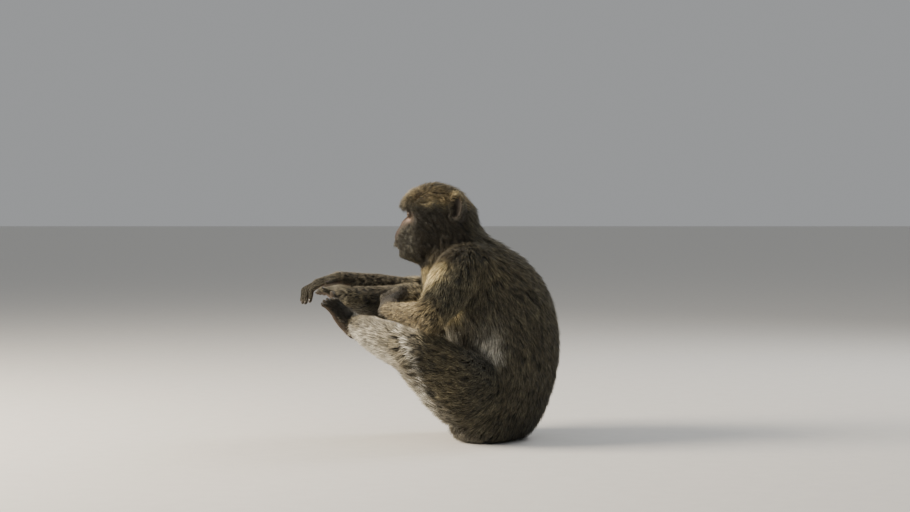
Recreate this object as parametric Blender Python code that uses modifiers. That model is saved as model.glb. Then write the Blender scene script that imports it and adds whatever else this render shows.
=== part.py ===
"""A seated Barbary macaque, life size, modelled out to the tips of its coat.

The body is lofted region by region, fused into one closed surface, thinned, and then parted at the joints.
Metres, +Z up. The animal faces -Y, its left side is +X, and it sits on z = 0.
"""

import math

import bmesh
import bpy
import numpy as np
from mathutils import Matrix, Vector

GAP = 0.0004  # clear space between neighbouring solids
VOXEL = 0.0024  # grain of the fused surface
BODY_TRIANGLES = 4080
CELL_TRIANGLES = 260  # on the surface that parts a limb from the trunk
SHIFT = Vector((-0.0020, 0.0075, 0.0))  # centres the finished animal over the origin

# Coat colours, sRGB hex.
OLIVE, BUFF, DARK, PAD, IRIS = "6E5C3F", "A08F6E", "4A4039", "8C6E64", "3A2414"
COLOURS = {"shank": BUFF, "thigh": BUFF, "foot": DARK, "hand": DARK, "ear": DARK, "seat_pad": PAD, "eye": IRIS}

# Trunk: centre y, z, half depth, half width, from the seat up to the base of the neck.
TRUNK = [
    (0.096, -0.020, 0.054, 0.088),
    (0.099, 0.014, 0.061, 0.106),
    (0.114, 0.062, 0.086, 0.115),
    (0.1266, 0.130, 0.0957, 0.116),
    (0.1240, 0.180, 0.1003, 0.108),
    (0.109, 0.228, 0.100, 0.103),
    (0.072, 0.272, 0.092, 0.098),
    (0.046, 0.312, 0.076, 0.080),
    (0.034, 0.345, 0.061, 0.060),
]
# Cranium with its hair: y, top z, bottom z, half width, from the brow back to the nape.
CRANIUM = [
    (-0.0605, 0.4125, 0.4010, 0.0150),
    (-0.0555, 0.4205, 0.4000, 0.0300),
    (-0.0420, 0.4345, 0.3990, 0.0400),
    (-0.0280, 0.4435, 0.3780, 0.0470),
    (-0.0160, 0.4475, 0.3420, 0.0520),
    (-0.0020, 0.4500, 0.3280, 0.0555),
    (0.0210, 0.4470, 0.3310, 0.0575),
    (0.0420, 0.4370, 0.3400, 0.0545),
    (0.0600, 0.4205, 0.3480, 0.0460),
    (0.0720, 0.4030, 0.3580, 0.0330),
    (0.0790, 0.3880, 0.3680, 0.0160),
]
# Muzzle and cheeks: y, top z, bottom z, half width, from the nose back.
MUZZLE = [
    (-0.0665, 0.3520, 0.3400, 0.0090),
    (-0.0640, 0.3570, 0.3300, 0.0180),
    (-0.0595, 0.3660, 0.3235, 0.0230),
    (-0.0530, 0.3790, 0.3160, 0.0255),
    (-0.0440, 0.3900, 0.3110, 0.0285),
    (-0.0300, 0.3960, 0.3070, 0.0370),
    (-0.0100, 0.3980, 0.3120, 0.0480),
    (0.0100, 0.3980, 0.3240, 0.0540),
]
EYE_AT, EYE_RADIUS = (0.0170, -0.0345, 0.3915), 0.0098
LID_OFFSET, LID_HALF = np.array([0.004, -0.012, 0.0]), (0.0105, 0.013, 0.0075)  # the opening between the lids
EAR_AT, EAR_HALF = (0.0560, 0.0405, 0.4040), (0.0065, 0.0145, 0.0225)
EAR_CUP_OFFSET, EAR_CUP_HALF = np.array([0.0065, -0.0030, 0.0010]), (0.0050, 0.0095, 0.0150)

# Limbs: x, y, z, half width, half depth at each landmark.
UPPER_ARM_L = [
    (0.062, 0.068, 0.300, 0.044, 0.046),
    (0.086, 0.046, 0.290, 0.046, 0.047),
    (0.130, 0.018, 0.250, 0.035, 0.039),
    (0.165, -0.002, 0.219, 0.025, 0.027),
]
FOREARM_L = [
    (0.165, -0.002, 0.220, 0.0245, 0.025),
    (0.130, -0.028, 0.222, 0.0205, 0.024),
    (0.085, -0.055, 0.223, 0.0170, 0.020),
    (0.046, -0.074, 0.224, 0.0150, 0.017),
]
UPPER_ARM_R = [
    (-0.062, 0.068, 0.300, 0.044, 0.046),
    (-0.086, 0.045, 0.297, 0.044, 0.044),
    (-0.140, 0.016, 0.270, 0.032, 0.033),
    (-0.180, -0.006, 0.249, 0.024, 0.026),
]
FOREARM_R = [
    (-0.180, -0.006, 0.248, 0.025, 0.027),
    (-0.168, -0.055, 0.248, 0.025, 0.029),
    (-0.140, -0.115, 0.2590, 0.021, 0.025),
    (-0.116, -0.168, 0.272, 0.0155, 0.0165),
]
THIGH_L = [
    (0.062, 0.098, 0.080, 0.057, 0.060),
    (0.096, 0.060, 0.089, 0.064, 0.068),
    (0.140, 0.008, 0.130, 0.052, 0.057),
    (0.170, -0.032, 0.163, 0.036, 0.043),
]
SHANK_L = [
    (0.170, -0.034, 0.164, 0.034, 0.043),
    (0.138, -0.058, 0.171, 0.034, 0.054),
    (0.092, -0.090, 0.181, 0.030, 0.050),
    (0.052, -0.116, 0.192, 0.022, 0.036),
    (0.032, -0.130, 0.194, 0.018, 0.022),
]
THIGH_R = [
    (-0.062, 0.098, 0.080, 0.057, 0.060),
    (-0.086, 0.054, 0.108, 0.062, 0.070),
    (-0.105, 0.000, 0.178, 0.048, 0.050),
    (-0.115, -0.038, 0.232, 0.034, 0.036),
]
SHANK_R = [
    (-0.115, -0.042, 0.234, 0.032, 0.036),
    (-0.096, -0.070, 0.231, 0.031, 0.042),
    (-0.064, -0.108, 0.234, 0.028, 0.042),
    (-0.034, -0.138, 0.239, 0.022, 0.031),
    (-0.022, -0.150, 0.241, 0.018, 0.023),
]
# Hands and feet: wrist or heel, ball, then where the middle digit bends and ends, with the
# direction across the palm or sole. The lengths are those of the four digits against the longest, and
# the thumb or great toe has its place along and across, its direction and its reach.
HAND_L = dict(
    root=(0.046, -0.074, 0.224), ball=(-0.002, -0.071, 0.242), bend=(-0.029, -0.069, 0.256),
    tip=(-0.046, -0.070, 0.243), across=(0.10, 0.92, 0.38), width=0.0205, thick=0.0120, digit=0.0056,
    lengths=(0.80, 0.95, 1.0, 0.92), thumb=(0.35, 0.85, (0.1, 0.9, 0.1), 0.026))
HAND_R = dict(
    root=(-0.116, -0.168, 0.272), ball=(-0.102, -0.208, 0.2660), bend=(-0.098, -0.2310, 0.2520),
    tip=(-0.096, -0.2350, 0.2310), across=(0.86, 0.50, 0.06), width=0.0215, thick=0.0115, digit=0.0056,
    lengths=(0.84, 0.97, 1.0, 0.92), thumb=(0.30, 0.95, (0.8, -0.6, -0.15), 0.024))
FOOT_L = dict(
    root=(0.030, -0.1360, 0.1885), ball=(0.054, -0.1655, 0.2275), bend=(0.066, -0.1775, 0.2430),
    tip=(0.073, -0.1850, 0.2465), across=(0.80, -0.42, -0.12), width=0.0215, thick=0.0145, digit=0.0062,
    lengths=(0.92, 1.0, 0.96, 0.80), thumb=(0.85, -0.95, (0.0, -0.50, 0.85), 0.031))
FOOT_R = dict(
    root=(-0.021, -0.1520, 0.2410), ball=(-0.038, -0.1770, 0.2530), bend=(-0.046, -0.1900, 0.2570),
    tip=(-0.052, -0.1990, 0.2510), across=(-0.82, 0.42, -0.10), width=0.0215, thick=0.0155, digit=0.0062,
    lengths=(0.92, 1.0, 0.96, 0.80), thumb=(0.45, -0.95, (0.4, -0.7, 0.35), 0.026))
DIGITS = 4  # fingers or toes beside the thumb or great toe

# Joints: a point on the cut and the direction that the outer segment lies in.
CELL_GROWTH = 0.006  # how far a limb's cell reaches past the limb, to take in the eased joint
NECK_CUT = ((0.0, 0.045, 0.318), (0.0, -0.50, 0.87))
HEAD_CUT = ((0.0, 0.035, 0.345), (0.0, -0.50, 0.87))
PAD_AT, PAD_HALF = (0.028, 0.096), (0.018, 0.029, 0.008)


def colour(hex_text):
    values = np.array([int(hex_text[i : i + 2], 16) / 255 for i in (0, 2, 4)])
    return (*np.where(values <= 0.04045, values / 12.92, ((values + 0.055) / 1.055) ** 2.4), 1.0)


def unit(vector):
    vector = np.asarray(vector, float)
    return vector / np.linalg.norm(vector)


def curve_through(rows, steps=5):
    """The rows joined by a Catmull-Rom curve, with this many steps between two of them."""
    rows = np.asarray(rows, float)
    ends = np.vstack([2 * rows[0] - rows[1], rows, 2 * rows[-1] - rows[-2]])
    t = (np.arange(steps) / steps)[:, None]
    found = [
        0.5 * (2 * b + (c - a) * t + (2 * a - 5 * b + 4 * c - d) * t**2 + (3 * b - a - 3 * c + d) * t**3)
        for a, b, c, d in zip(ends[:-3], ends[1:-2], ends[2:-1], ends[3:])
    ]
    return np.vstack([*found, rows[-1:]])


def mesh_object(name, points, faces, where):
    mesh = bpy.data.meshes.new(name)
    mesh.from_pydata([tuple(p) for p in points], [], faces)
    mesh.update()
    made = bpy.data.objects.new(name, mesh)
    where.objects.link(made)
    return made


def skin_over(name, rings, where):
    """Rings of equal count joined in order, each end closed by a fan."""
    rings = np.asarray(rings)
    count, around, _ = rings.shape
    points = np.vstack([rings.reshape(-1, 3), rings[0].mean(axis=0), rings[-1].mean(axis=0)])
    faces = []
    for i in range(count - 1):
        for j in range(around):
            k = (j + 1) % around
            faces.append((i * around + j, i * around + k, (i + 1) * around + k, (i + 1) * around + j))
    first, last = len(points) - 2, len(points) - 1
    for j in range(around):
        k = (j + 1) % around
        faces.append((first, k, j))
        faces.append((last, (count - 1) * around + j, (count - 1) * around + k))
    made = mesh_object(name, points, faces, where)
    outwards(made)
    return made


def outwards(obj):
    work = bmesh.new()
    work.from_mesh(obj.data)
    bmesh.ops.recalc_face_normals(work, faces=work.faces)
    work.to_mesh(obj.data)
    work.free()


def tube(name, rows, across, where, around=20):
    """A limb: elliptical sections square to a curve through the landmarks, with rounded ends."""
    path = curve_through(rows)
    centres, wide, deep = path[:, :3], path[:, 3:4], path[:, 4:5]
    tangents = np.gradient(centres, axis=0)
    tangents /= np.linalg.norm(tangents, axis=1, keepdims=True)
    sides = np.asarray(across, float) - (tangents @ np.asarray(across, float))[:, None] * tangents
    sides /= np.linalg.norm(sides, axis=1, keepdims=True)
    fronts = np.cross(tangents, sides)
    turns = np.linspace(0, 2 * math.pi, around, endpoint=False)
    rings = []
    caps = np.radians([78, 58, 35, 14])
    radius = 0.5 * (wide + deep)

    def ring(i, slide, scale):
        return (
            centres[i] + slide * tangents[i]
            + scale * wide[i] * np.cos(turns)[:, None] * sides[i]
            + scale * deep[i] * np.sin(turns)[:, None] * fronts[i]
        )

    rings += [ring(0, -radius[0] * math.sin(a), math.cos(a)) for a in caps]
    rings += [ring(i, 0.0, 1.0) for i in range(len(centres))]
    rings += [ring(-1, radius[-1] * math.sin(a), math.cos(a)) for a in caps[::-1]]
    return skin_over(name, rings, where)


def upright_loft(name, rows, where, around=28):
    """The trunk: ellipses square to the spine curve in the Y-Z plane."""
    rows = [(0.0, y, z, wide, deep) for y, z, deep, wide in rows]
    return tube(name, rows, (1.0, 0.0, 0.0), where, around)


def level_loft(name, rows, where, around=28):
    """The head: upright sections set one behind the other along Y."""
    path = curve_through(rows, 3)
    turns = np.linspace(0, 2 * math.pi, around, endpoint=False)
    rings = [
        np.stack([
            wide * np.cos(turns),
            np.full(around, y),
            0.5 * (top + low) + 0.5 * (top - low) * np.sin(turns),
        ], axis=1)
        for y, top, low, wide in path
    ]
    return skin_over(name, rings, where)


def hand_or_foot(name, form, where):
    """A palm or sole with four digits and a thumb or great toe."""
    root, ball, bend, tip = (np.array(form[k]) for k in ("root", "ball", "bend", "tip"))
    across = unit(form["across"])
    wide, thick, digit = form["width"], form["thick"], form["digit"]
    pieces = [tube(name + "_palm", [
        (*root, 0.70 * wide, 1.05 * thick),
        (*(0.5 * (root + ball)), 0.95 * wide, 1.05 * thick),
        (*(0.85 * ball + 0.15 * root), wide, 0.85 * thick),
    ], across, where, 16)]
    for i in range(DIGITS):
        place = (i / (DIGITS - 1) - 0.5) * 2
        spread = across * place * (wide - digit)
        length = form["lengths"][i]
        start = ball * 0.9 + root * 0.1 + spread
        middle = start + (bend - ball) * length + spread * 0.12
        end = middle + (tip - bend) * length + spread * 0.10
        pieces.append(tube(f"{name}_digit_{i}", [
            (*start, digit * 1.05, digit * 1.1),
            (*(0.5 * (start + middle)), digit, digit),
            (*middle, digit, digit * 1.05),
            (*end, digit * 0.8, digit * 0.8),
        ], across, where, 12))
    along, side, way, reach = form["thumb"]
    start = root + along * (ball - root) + across * side * wide * 0.6
    way = unit(way)
    pieces.append(tube(name + "_thumb", [
        (*start, digit * 1.25, digit * 1.25),
        (*(start + way * reach * 0.6), digit * 1.05, digit * 1.05),
        (*(start + way * reach * 1.15), digit * 0.8, digit * 0.8),
    ], across + np.array([0.0, 0.0, 0.3]), where, 12))
    return pieces


def joined(name, pieces):
    """One object holding copies of these meshes, which may overlap."""
    work = bmesh.new()
    for piece in pieces:
        work.from_mesh(piece.data)
    mesh = bpy.data.meshes.new(name)
    work.to_mesh(mesh)
    work.free()
    made = bpy.data.objects.new(name, mesh)
    pieces[0].users_collection[0].objects.link(made)
    for piece in pieces:
        bpy.data.objects.remove(piece)
    return made


def apply_all(obj):
    """Puts the result of the modifiers into the mesh."""
    bpy.context.view_layer.update()
    graph = bpy.context.evaluated_depsgraph_get()
    mesh = bpy.data.meshes.new_from_object(obj.evaluated_get(graph))
    obj.modifiers.clear()
    obj.data = mesh
    return obj


def modifier(obj, kind, **settings):
    made = obj.modifiers.new(kind.title(), kind)
    for key, value in settings.items():
        setattr(made, key, value)
    return made


def fuse(obj, voxel, smoothing, triangles):
    """A single closed surface over overlapping shapes, eased where they meet, in few triangles."""
    modifier(obj, "REMESH", mode="VOXEL", voxel_size=voxel, adaptivity=0.0)
    modifier(obj, "SMOOTH", factor=0.5, iterations=smoothing)
    modifier(obj, "TRIANGULATE")
    apply_all(obj)
    if triangles:
        ratio = min(1.0, triangles / len(obj.data.polygons))
        modifier(obj, "DECIMATE", ratio=ratio, use_collapse_triangulate=True)
        apply_all(obj)
    return obj


def combine(obj, other, operation):
    modifier(obj, "BOOLEAN", operation=operation, solver="EXACT", object=other)
    return apply_all(obj)


def copy_of(obj, name, where):
    made = bpy.data.objects.new(name, obj.data.copy())
    where.objects.link(made)
    return made


def grown(obj, by, name, where):
    """The shape swollen by this much along its normals."""
    made = copy_of(obj, name, where)
    modifier(made, "DISPLACE", strength=by, mid_level=0.0, direction="NORMAL")
    return apply_all(made)


def joint(inner, outer):
    """The cut between two segments: a point and the direction into the outer one, square to the bend."""
    point = np.array(inner[-1][:3])
    return point, unit(unit(np.array(outer[1][:3]) - point) - unit(np.array(inner[-2][:3]) - point))


def joint_cuts():
    """Where each limb is parted: (inner node, outer node) and the cut between them, by limb."""
    palms = {name: [form["root"], form["ball"]] for name, form in
             (("hand_L", HAND_L), ("hand_R", HAND_R), ("foot_L", FOOT_L), ("foot_R", FOOT_R))}
    rows = dict(palms, upper_arm_L=UPPER_ARM_L, forearm_L=FOREARM_L, upper_arm_R=UPPER_ARM_R,
                forearm_R=FOREARM_R, thigh_L=THIGH_L, shank_L=SHANK_L, thigh_R=THIGH_R, shank_R=SHANK_R)
    order = {"arm": ("upper_arm", "forearm", "hand"), "leg": ("thigh", "shank", "foot")}
    return {
        f"{limb}_{side}": {
            (f"{a}_{side}", f"{b}_{side}"): joint(rows[f"{a}_{side}"], rows[f"{b}_{side}"])
            for a, b in zip(names, names[1:])
        }
        for limb, names in order.items() for side in "LR"
    }


def half_space(name, point, normal, where, size=1.4):
    """A large box whose one face lies through the point, on the side the normal points to."""
    normal = unit(normal)
    side = unit(np.cross(normal, (0.31, 0.22, 0.93)))
    up = np.cross(normal, side)
    corners = [
        np.asarray(point) + a * size * normal + b * size * side + c * size * up
        for a in (0, 1) for b in (-0.5, 0.5) for c in (-0.5, 0.5)
    ]
    faces = [(0, 1, 3, 2), (4, 6, 7, 5), (0, 4, 5, 1), (2, 3, 7, 6), (0, 2, 6, 4), (1, 5, 7, 3)]
    made = mesh_object(name, corners, faces, where)
    outwards(made)
    return made


def largest_body(obj):
    """Keeps the largest loose part, since a cut can free a crumb."""
    work = bmesh.new()
    work.from_mesh(obj.data)
    left, groups = set(work.verts), []
    while left:
        stack, group = [left.pop()], []
        while stack:
            vertex = stack.pop()
            group.append(vertex)
            for edge in vertex.link_edges:
                other = edge.other_vert(vertex)
                if other in left:
                    left.remove(other)
                    stack.append(other)
        groups.append(group)
    groups.sort(key=len)
    for group in groups[:-1]:
        bmesh.ops.delete(work, geom=group, context="VERTS")
    work.to_mesh(obj.data)
    work.free()
    return obj


def split(obj, point, normal, near_name, far_name, cutters):
    """Parts a body at a joint: what lies before the cut and what lies beyond it."""
    normal = unit(normal)
    point = np.asarray(point)
    far = copy_of(obj, far_name, obj.users_collection[0])
    beyond = half_space(far_name + "_beyond", point + normal * GAP / 2, normal, cutters)
    before = half_space(near_name + "_before", point - normal * GAP / 2, -normal, cutters)
    combine(far, beyond, "INTERSECT")
    combine(obj, before, "INTERSECT")
    for helper in (beyond, before):
        bpy.data.objects.remove(helper)
    obj.name = near_name
    return largest_body(obj), largest_body(far)


def take_from(body, cell, name, parts, cutters):
    """Moves the part of the body inside a cell to a node of its own."""
    taken = copy_of(body, name, parts)
    combine(taken, cell, "INTERSECT")
    wider = grown(cell, GAP, name + "_wider", cutters)
    combine(body, wider, "DIFFERENCE")
    bpy.data.objects.remove(wider)
    return largest_body(taken)


def ellipsoid(name, centre, half, where, segments=14, rings=8):
    work = bmesh.new()
    bmesh.ops.create_uvsphere(work, u_segments=segments, v_segments=rings, radius=1.0)
    for vertex in work.verts:
        vertex.co = [c + h * v for c, h, v in zip(centre, half, vertex.co)]
    mesh = bpy.data.meshes.new(name)
    work.to_mesh(mesh)
    work.free()
    made = bpy.data.objects.new(name, mesh)
    where.objects.link(made)
    return made


def finish(obj, hex_text):
    material = bpy.data.materials.new(obj.name)
    material.use_nodes = True
    shader = material.node_tree.nodes["Principled BSDF"]
    shader.inputs["Base Color"].default_value = colour(hex_text)
    shader.inputs["Roughness"].default_value = 0.8
    obj.data.materials.clear()
    obj.data.materials.append(material)


def limb_shapes(where):
    """The limbs as lists of overlapping solids, by limb."""
    out = (1.0, 0.0, 0.0)
    down = (0.0, 0.35, 1.0)
    return {
        "arm_L": [tube("ua", UPPER_ARM_L, out, where), tube("fa", FOREARM_L, down, where),
                  *hand_or_foot("hl", HAND_L, where)],
        "arm_R": [tube("ua", UPPER_ARM_R, out, where), tube("fa", FOREARM_R, out, where),
                  *hand_or_foot("hr", HAND_R, where)],
        "leg_L": [tube("th", THIGH_L, out, where), tube("sh", SHANK_L, (0.5, 0.7, 0.4), where),
                  *hand_or_foot("fl", FOOT_L, where)],
        "leg_R": [tube("th", THIGH_R, out, where), tube("sh", SHANK_R, (-0.5, 0.7, 0.4), where),
                  *hand_or_foot("fr", FOOT_R, where)],
    }


def main():
    for obj in list(bpy.data.objects):
        bpy.data.objects.remove(obj)
    parts = bpy.data.collections.new("barbary_macaque")
    cutters = bpy.data.collections.new("cutters")
    cutters.hide_render = True
    for collection in (parts, cutters):
        bpy.context.scene.collection.children.link(collection)

    cells = {}
    for name, shapes in limb_shapes(cutters).items():
        cells[name] = joined(name + "_cell", shapes)
    body = joined("trunk", [
        upright_loft("trunk_loft", TRUNK, cutters),
        level_loft("cranium_loft", CRANIUM, cutters),
        level_loft("muzzle_loft", MUZZLE, cutters),
        *[copy_of(cell, "copy", cutters) for cell in cells.values()],
    ])
    fuse(body, VOXEL, 6, BODY_TRIANGLES)
    parts.objects.link(body)
    cutters.objects.unlink(body)
    floor = half_space("floor", (0, 0, 0), (0, 0, 1), cutters)
    largest_body(combine(body, floor, "INTERSECT"))
    bpy.data.objects.remove(floor)

    cuts = joint_cuts()
    for name, cell in cells.items():
        fuse(cell, 0.005, 3, CELL_TRIANGLES)
        modifier(cell, "DISPLACE", strength=CELL_GROWTH, mid_level=0.0, direction="NORMAL")
        apply_all(cell)
        limb = take_from(body, cell, name, parts, cutters)
        rest = limb
        for (near_name, far_name), (point, normal) in cuts[name].items():
            _, rest = split(rest, point, normal, near_name, far_name, cutters)
    _, neck = split(body, *NECK_CUT, "trunk", "neck", cutters)
    _, head = split(neck, *HEAD_CUT, "neck", "head", cutters)
    for side, letter in ((1, "L"), (-1, "R")):
        mirror = np.array([side, 1, 1])
        sink = ellipsoid("eye_socket", np.array(EYE_AT) * mirror, [EYE_RADIUS + 2 * GAP] * 3, cutters)
        combine(head, sink, "DIFFERENCE")
        slit = ellipsoid("lid_slit", (np.array(EYE_AT) + LID_OFFSET) * mirror, LID_HALF, cutters)
        combine(head, slit, "DIFFERENCE")
        eye = ellipsoid("eye_" + letter, np.array(EYE_AT) * mirror, [EYE_RADIUS] * 3, parts)
        finish(eye, IRIS)
        ear = ellipsoid("ear_" + letter, np.array(EAR_AT) * mirror, EAR_HALF, parts)
        pocket = grown(ear, GAP, "ear_pocket", cutters)
        cup = ellipsoid("ear_cup", (np.array(EAR_AT) + EAR_CUP_OFFSET) * mirror, EAR_CUP_HALF, cutters, 12, 6)
        combine(ear, cup, "DIFFERENCE")
        combine(head, pocket, "DIFFERENCE")
        pad_at = (PAD_AT[0] * side, PAD_AT[1], 0.0)
        pad = ellipsoid("seat_pad_" + letter, pad_at, PAD_HALF, parts)
        pad_pocket = grown(pad, GAP, "pad_pocket", cutters)
        combine(body, pad_pocket, "DIFFERENCE")
        floor = half_space("floor", (0, 0, 0), (0, 0, 1), cutters)
        combine(pad, floor, "INTERSECT")
        for helper in (sink, slit, cup, pocket, pad_pocket, floor):
            bpy.data.objects.remove(helper)
    for obj in parts.objects:
        base = obj.name.rsplit("_", 1)[0]
        finish(obj, COLOURS.get(base, OLIVE))
        obj.data.transform(Matrix.Translation(SHIFT))


main()
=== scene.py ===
"""A seated Barbary macaque: one skin over the whole body, eyes, nails, and a coat of solid tufts.

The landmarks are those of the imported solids, which run out to the tips of the hair. Each region of
skin is lofted that far inside them by the depth of its coat, and the tufts fill the space between.
"""

import math

import bmesh
import bpy
import numpy as np
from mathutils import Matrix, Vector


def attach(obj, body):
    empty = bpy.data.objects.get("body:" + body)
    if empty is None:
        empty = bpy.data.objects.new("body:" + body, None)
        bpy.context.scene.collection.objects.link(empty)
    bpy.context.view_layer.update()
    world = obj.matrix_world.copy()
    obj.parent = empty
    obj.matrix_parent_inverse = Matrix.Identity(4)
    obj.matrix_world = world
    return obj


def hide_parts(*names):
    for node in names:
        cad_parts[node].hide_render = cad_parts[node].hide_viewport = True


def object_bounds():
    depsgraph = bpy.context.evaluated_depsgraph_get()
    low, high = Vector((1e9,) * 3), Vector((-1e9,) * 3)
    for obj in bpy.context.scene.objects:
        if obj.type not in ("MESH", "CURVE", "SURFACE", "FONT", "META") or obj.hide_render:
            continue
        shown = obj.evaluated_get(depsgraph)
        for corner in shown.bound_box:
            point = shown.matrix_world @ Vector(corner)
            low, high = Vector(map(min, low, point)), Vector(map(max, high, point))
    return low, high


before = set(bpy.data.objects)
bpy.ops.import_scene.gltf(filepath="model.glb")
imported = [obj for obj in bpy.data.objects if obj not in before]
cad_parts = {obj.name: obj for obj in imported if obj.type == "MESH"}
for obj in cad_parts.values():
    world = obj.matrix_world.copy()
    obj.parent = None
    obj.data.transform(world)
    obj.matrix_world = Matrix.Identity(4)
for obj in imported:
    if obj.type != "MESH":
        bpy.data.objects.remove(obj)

CAD_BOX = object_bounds()
SHIFT = np.array([-0.0020, 0.0075, 0.0])  # from the landmarks' own origin to the row's
RANDOM = np.random.default_rng(11)
SKIN_VOXEL = 0.0015
SKIN_TRIANGLES = 92000
SKIN_INSIDE, NAILS_INSIDE, COAT_INSIDE = 0.0004, 0.0006, 0.0008  # kept from the sides of the solids' box

# ---------------------------------------------------------------- landmarks, metres
# Rows: x, y, z, half width, half depth, of the animal with its coat.
TRUNK = [
    (0.0, 0.096, -0.020, 0.088, 0.054),
    (0.0, 0.099, 0.014, 0.106, 0.061),
    (0.0, 0.114, 0.062, 0.115, 0.086),
    (0.0, 0.1266, 0.130, 0.116, 0.0957),
    (0.0, 0.1240, 0.180, 0.108, 0.1003),
    (0.0, 0.109, 0.228, 0.103, 0.100),
    (0.0, 0.072, 0.272, 0.098, 0.092),
    (0.0, 0.046, 0.312, 0.080, 0.076),
    (0.0, 0.034, 0.345, 0.060, 0.061),
]
UPPER_ARM_L = [
    (0.062, 0.068, 0.300, 0.044, 0.046),
    (0.086, 0.046, 0.290, 0.046, 0.047),
    (0.130, 0.018, 0.250, 0.035, 0.039),
    (0.165, -0.002, 0.219, 0.025, 0.027),
]
FOREARM_L = [
    (0.165, -0.002, 0.220, 0.0245, 0.025),
    (0.130, -0.028, 0.222, 0.0205, 0.024),
    (0.085, -0.055, 0.223, 0.0170, 0.020),
    (0.046, -0.074, 0.224, 0.0150, 0.017),
]
UPPER_ARM_R = [
    (-0.062, 0.068, 0.300, 0.044, 0.046),
    (-0.086, 0.045, 0.297, 0.044, 0.044),
    (-0.140, 0.016, 0.270, 0.032, 0.033),
    (-0.180, -0.006, 0.249, 0.024, 0.026),
]
FOREARM_R = [
    (-0.180, -0.006, 0.248, 0.025, 0.027),
    (-0.168, -0.055, 0.248, 0.025, 0.029),
    (-0.140, -0.115, 0.2590, 0.021, 0.025),
    (-0.116, -0.168, 0.272, 0.0155, 0.0165),
]
THIGH_L = [
    (0.062, 0.098, 0.080, 0.057, 0.060),
    (0.096, 0.060, 0.089, 0.064, 0.068),
    (0.140, 0.008, 0.130, 0.052, 0.057),
    (0.170, -0.032, 0.163, 0.036, 0.043),
]
SHANK_L = [
    (0.170, -0.034, 0.164, 0.034, 0.043),
    (0.138, -0.058, 0.171, 0.034, 0.054),
    (0.092, -0.090, 0.181, 0.030, 0.050),
    (0.052, -0.116, 0.192, 0.022, 0.036),
    (0.032, -0.130, 0.194, 0.018, 0.022),
]
THIGH_R = [
    (-0.062, 0.098, 0.080, 0.057, 0.060),
    (-0.086, 0.054, 0.108, 0.062, 0.070),
    (-0.105, 0.000, 0.178, 0.048, 0.050),
    (-0.115, -0.038, 0.232, 0.034, 0.036),
]
SHANK_R = [
    (-0.115, -0.042, 0.234, 0.032, 0.036),
    (-0.096, -0.070, 0.231, 0.031, 0.042),
    (-0.064, -0.108, 0.234, 0.028, 0.042),
    (-0.034, -0.138, 0.239, 0.022, 0.031),
    (-0.022, -0.150, 0.241, 0.018, 0.023),
]
# Skull and muzzle without hair: y, top z, bottom z, half width.
SKULL = [
    (-0.0520, 0.4080, 0.3990, 0.0170),
    (-0.0480, 0.4140, 0.3965, 0.0290),
    (-0.0390, 0.4230, 0.3900, 0.0350),
    (-0.0250, 0.4315, 0.3600, 0.0390),
    (-0.0040, 0.4375, 0.3420, 0.0435),
    (0.0200, 0.4355, 0.3430, 0.0455),
    (0.0410, 0.4250, 0.3490, 0.0425),
    (0.0580, 0.4080, 0.3560, 0.0340),
    (0.0680, 0.3930, 0.3660, 0.0200),
]
MUZZLE = [
    (-0.0655, 0.3530, 0.3420, 0.0100),
    (-0.0635, 0.3575, 0.3320, 0.0170),
    (-0.0590, 0.3655, 0.3250, 0.0215),
    (-0.0525, 0.3775, 0.3180, 0.0240),
    (-0.0440, 0.3865, 0.3140, 0.0270),
    (-0.0300, 0.3920, 0.3120, 0.0320),
    (-0.0100, 0.3940, 0.3200, 0.0380),
    (0.0100, 0.3900, 0.3340, 0.0410),
]
# Each hand and foot: wrist or heel, ball, where the middle digit bends and ends, the direction across the
# palm, the direction its back faces, half width, half thickness, a digit's radius, and the digits' lengths
# against the longest. The thumb or great toe has its place along and across, its direction and its reach.
HANDS = {
    "hand_L": dict(
        root=(0.046, -0.074, 0.224), ball=(-0.002, -0.071, 0.242), bend=(-0.029, -0.069, 0.256),
        tip=(-0.046, -0.070, 0.243), across=(0.10, 0.92, 0.38), back=(0.45, 0.0, 0.9), width=0.0205,
        thick=0.0120, digit=0.0056, lengths=(0.80, 0.95, 1.0, 0.92),
        thumb=(0.35, 0.85, (0.1, 0.9, 0.1), 0.026)),
    "hand_R": dict(
        root=(-0.116, -0.168, 0.272), ball=(-0.102, -0.208, 0.2660), bend=(-0.098, -0.2310, 0.2520),
        tip=(-0.096, -0.2350, 0.2310), across=(0.86, 0.50, 0.06), back=(0.0, -0.35, 0.95), width=0.0215,
        thick=0.0115, digit=0.0056, lengths=(0.84, 0.97, 1.0, 0.92),
        thumb=(0.30, 0.95, (0.8, -0.6, -0.15), 0.024)),
    "foot_L": dict(
        root=(0.030, -0.1360, 0.1885), ball=(0.054, -0.1655, 0.2275), bend=(0.066, -0.1775, 0.2430),
        tip=(0.073, -0.1850, 0.2465), across=(0.80, -0.42, -0.12), back=(-0.30, 0.60, 0.75), width=0.0215,
        thick=0.0145, digit=0.0062, lengths=(0.92, 1.0, 0.96, 0.80),
        thumb=(0.85, -0.95, (0.0, -0.50, 0.85), 0.031)),
    "foot_R": dict(
        root=(-0.021, -0.1520, 0.2410), ball=(-0.038, -0.1770, 0.2530), bend=(-0.046, -0.1900, 0.2570),
        tip=(-0.052, -0.1990, 0.2510), across=(-0.82, 0.42, -0.10), back=(0.30, 0.60, 0.75), width=0.0215,
        thick=0.0155, digit=0.0062, lengths=(0.92, 1.0, 0.96, 0.80),
        thumb=(0.45, -0.95, (0.4, -0.7, 0.35), 0.026)),
}
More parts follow.
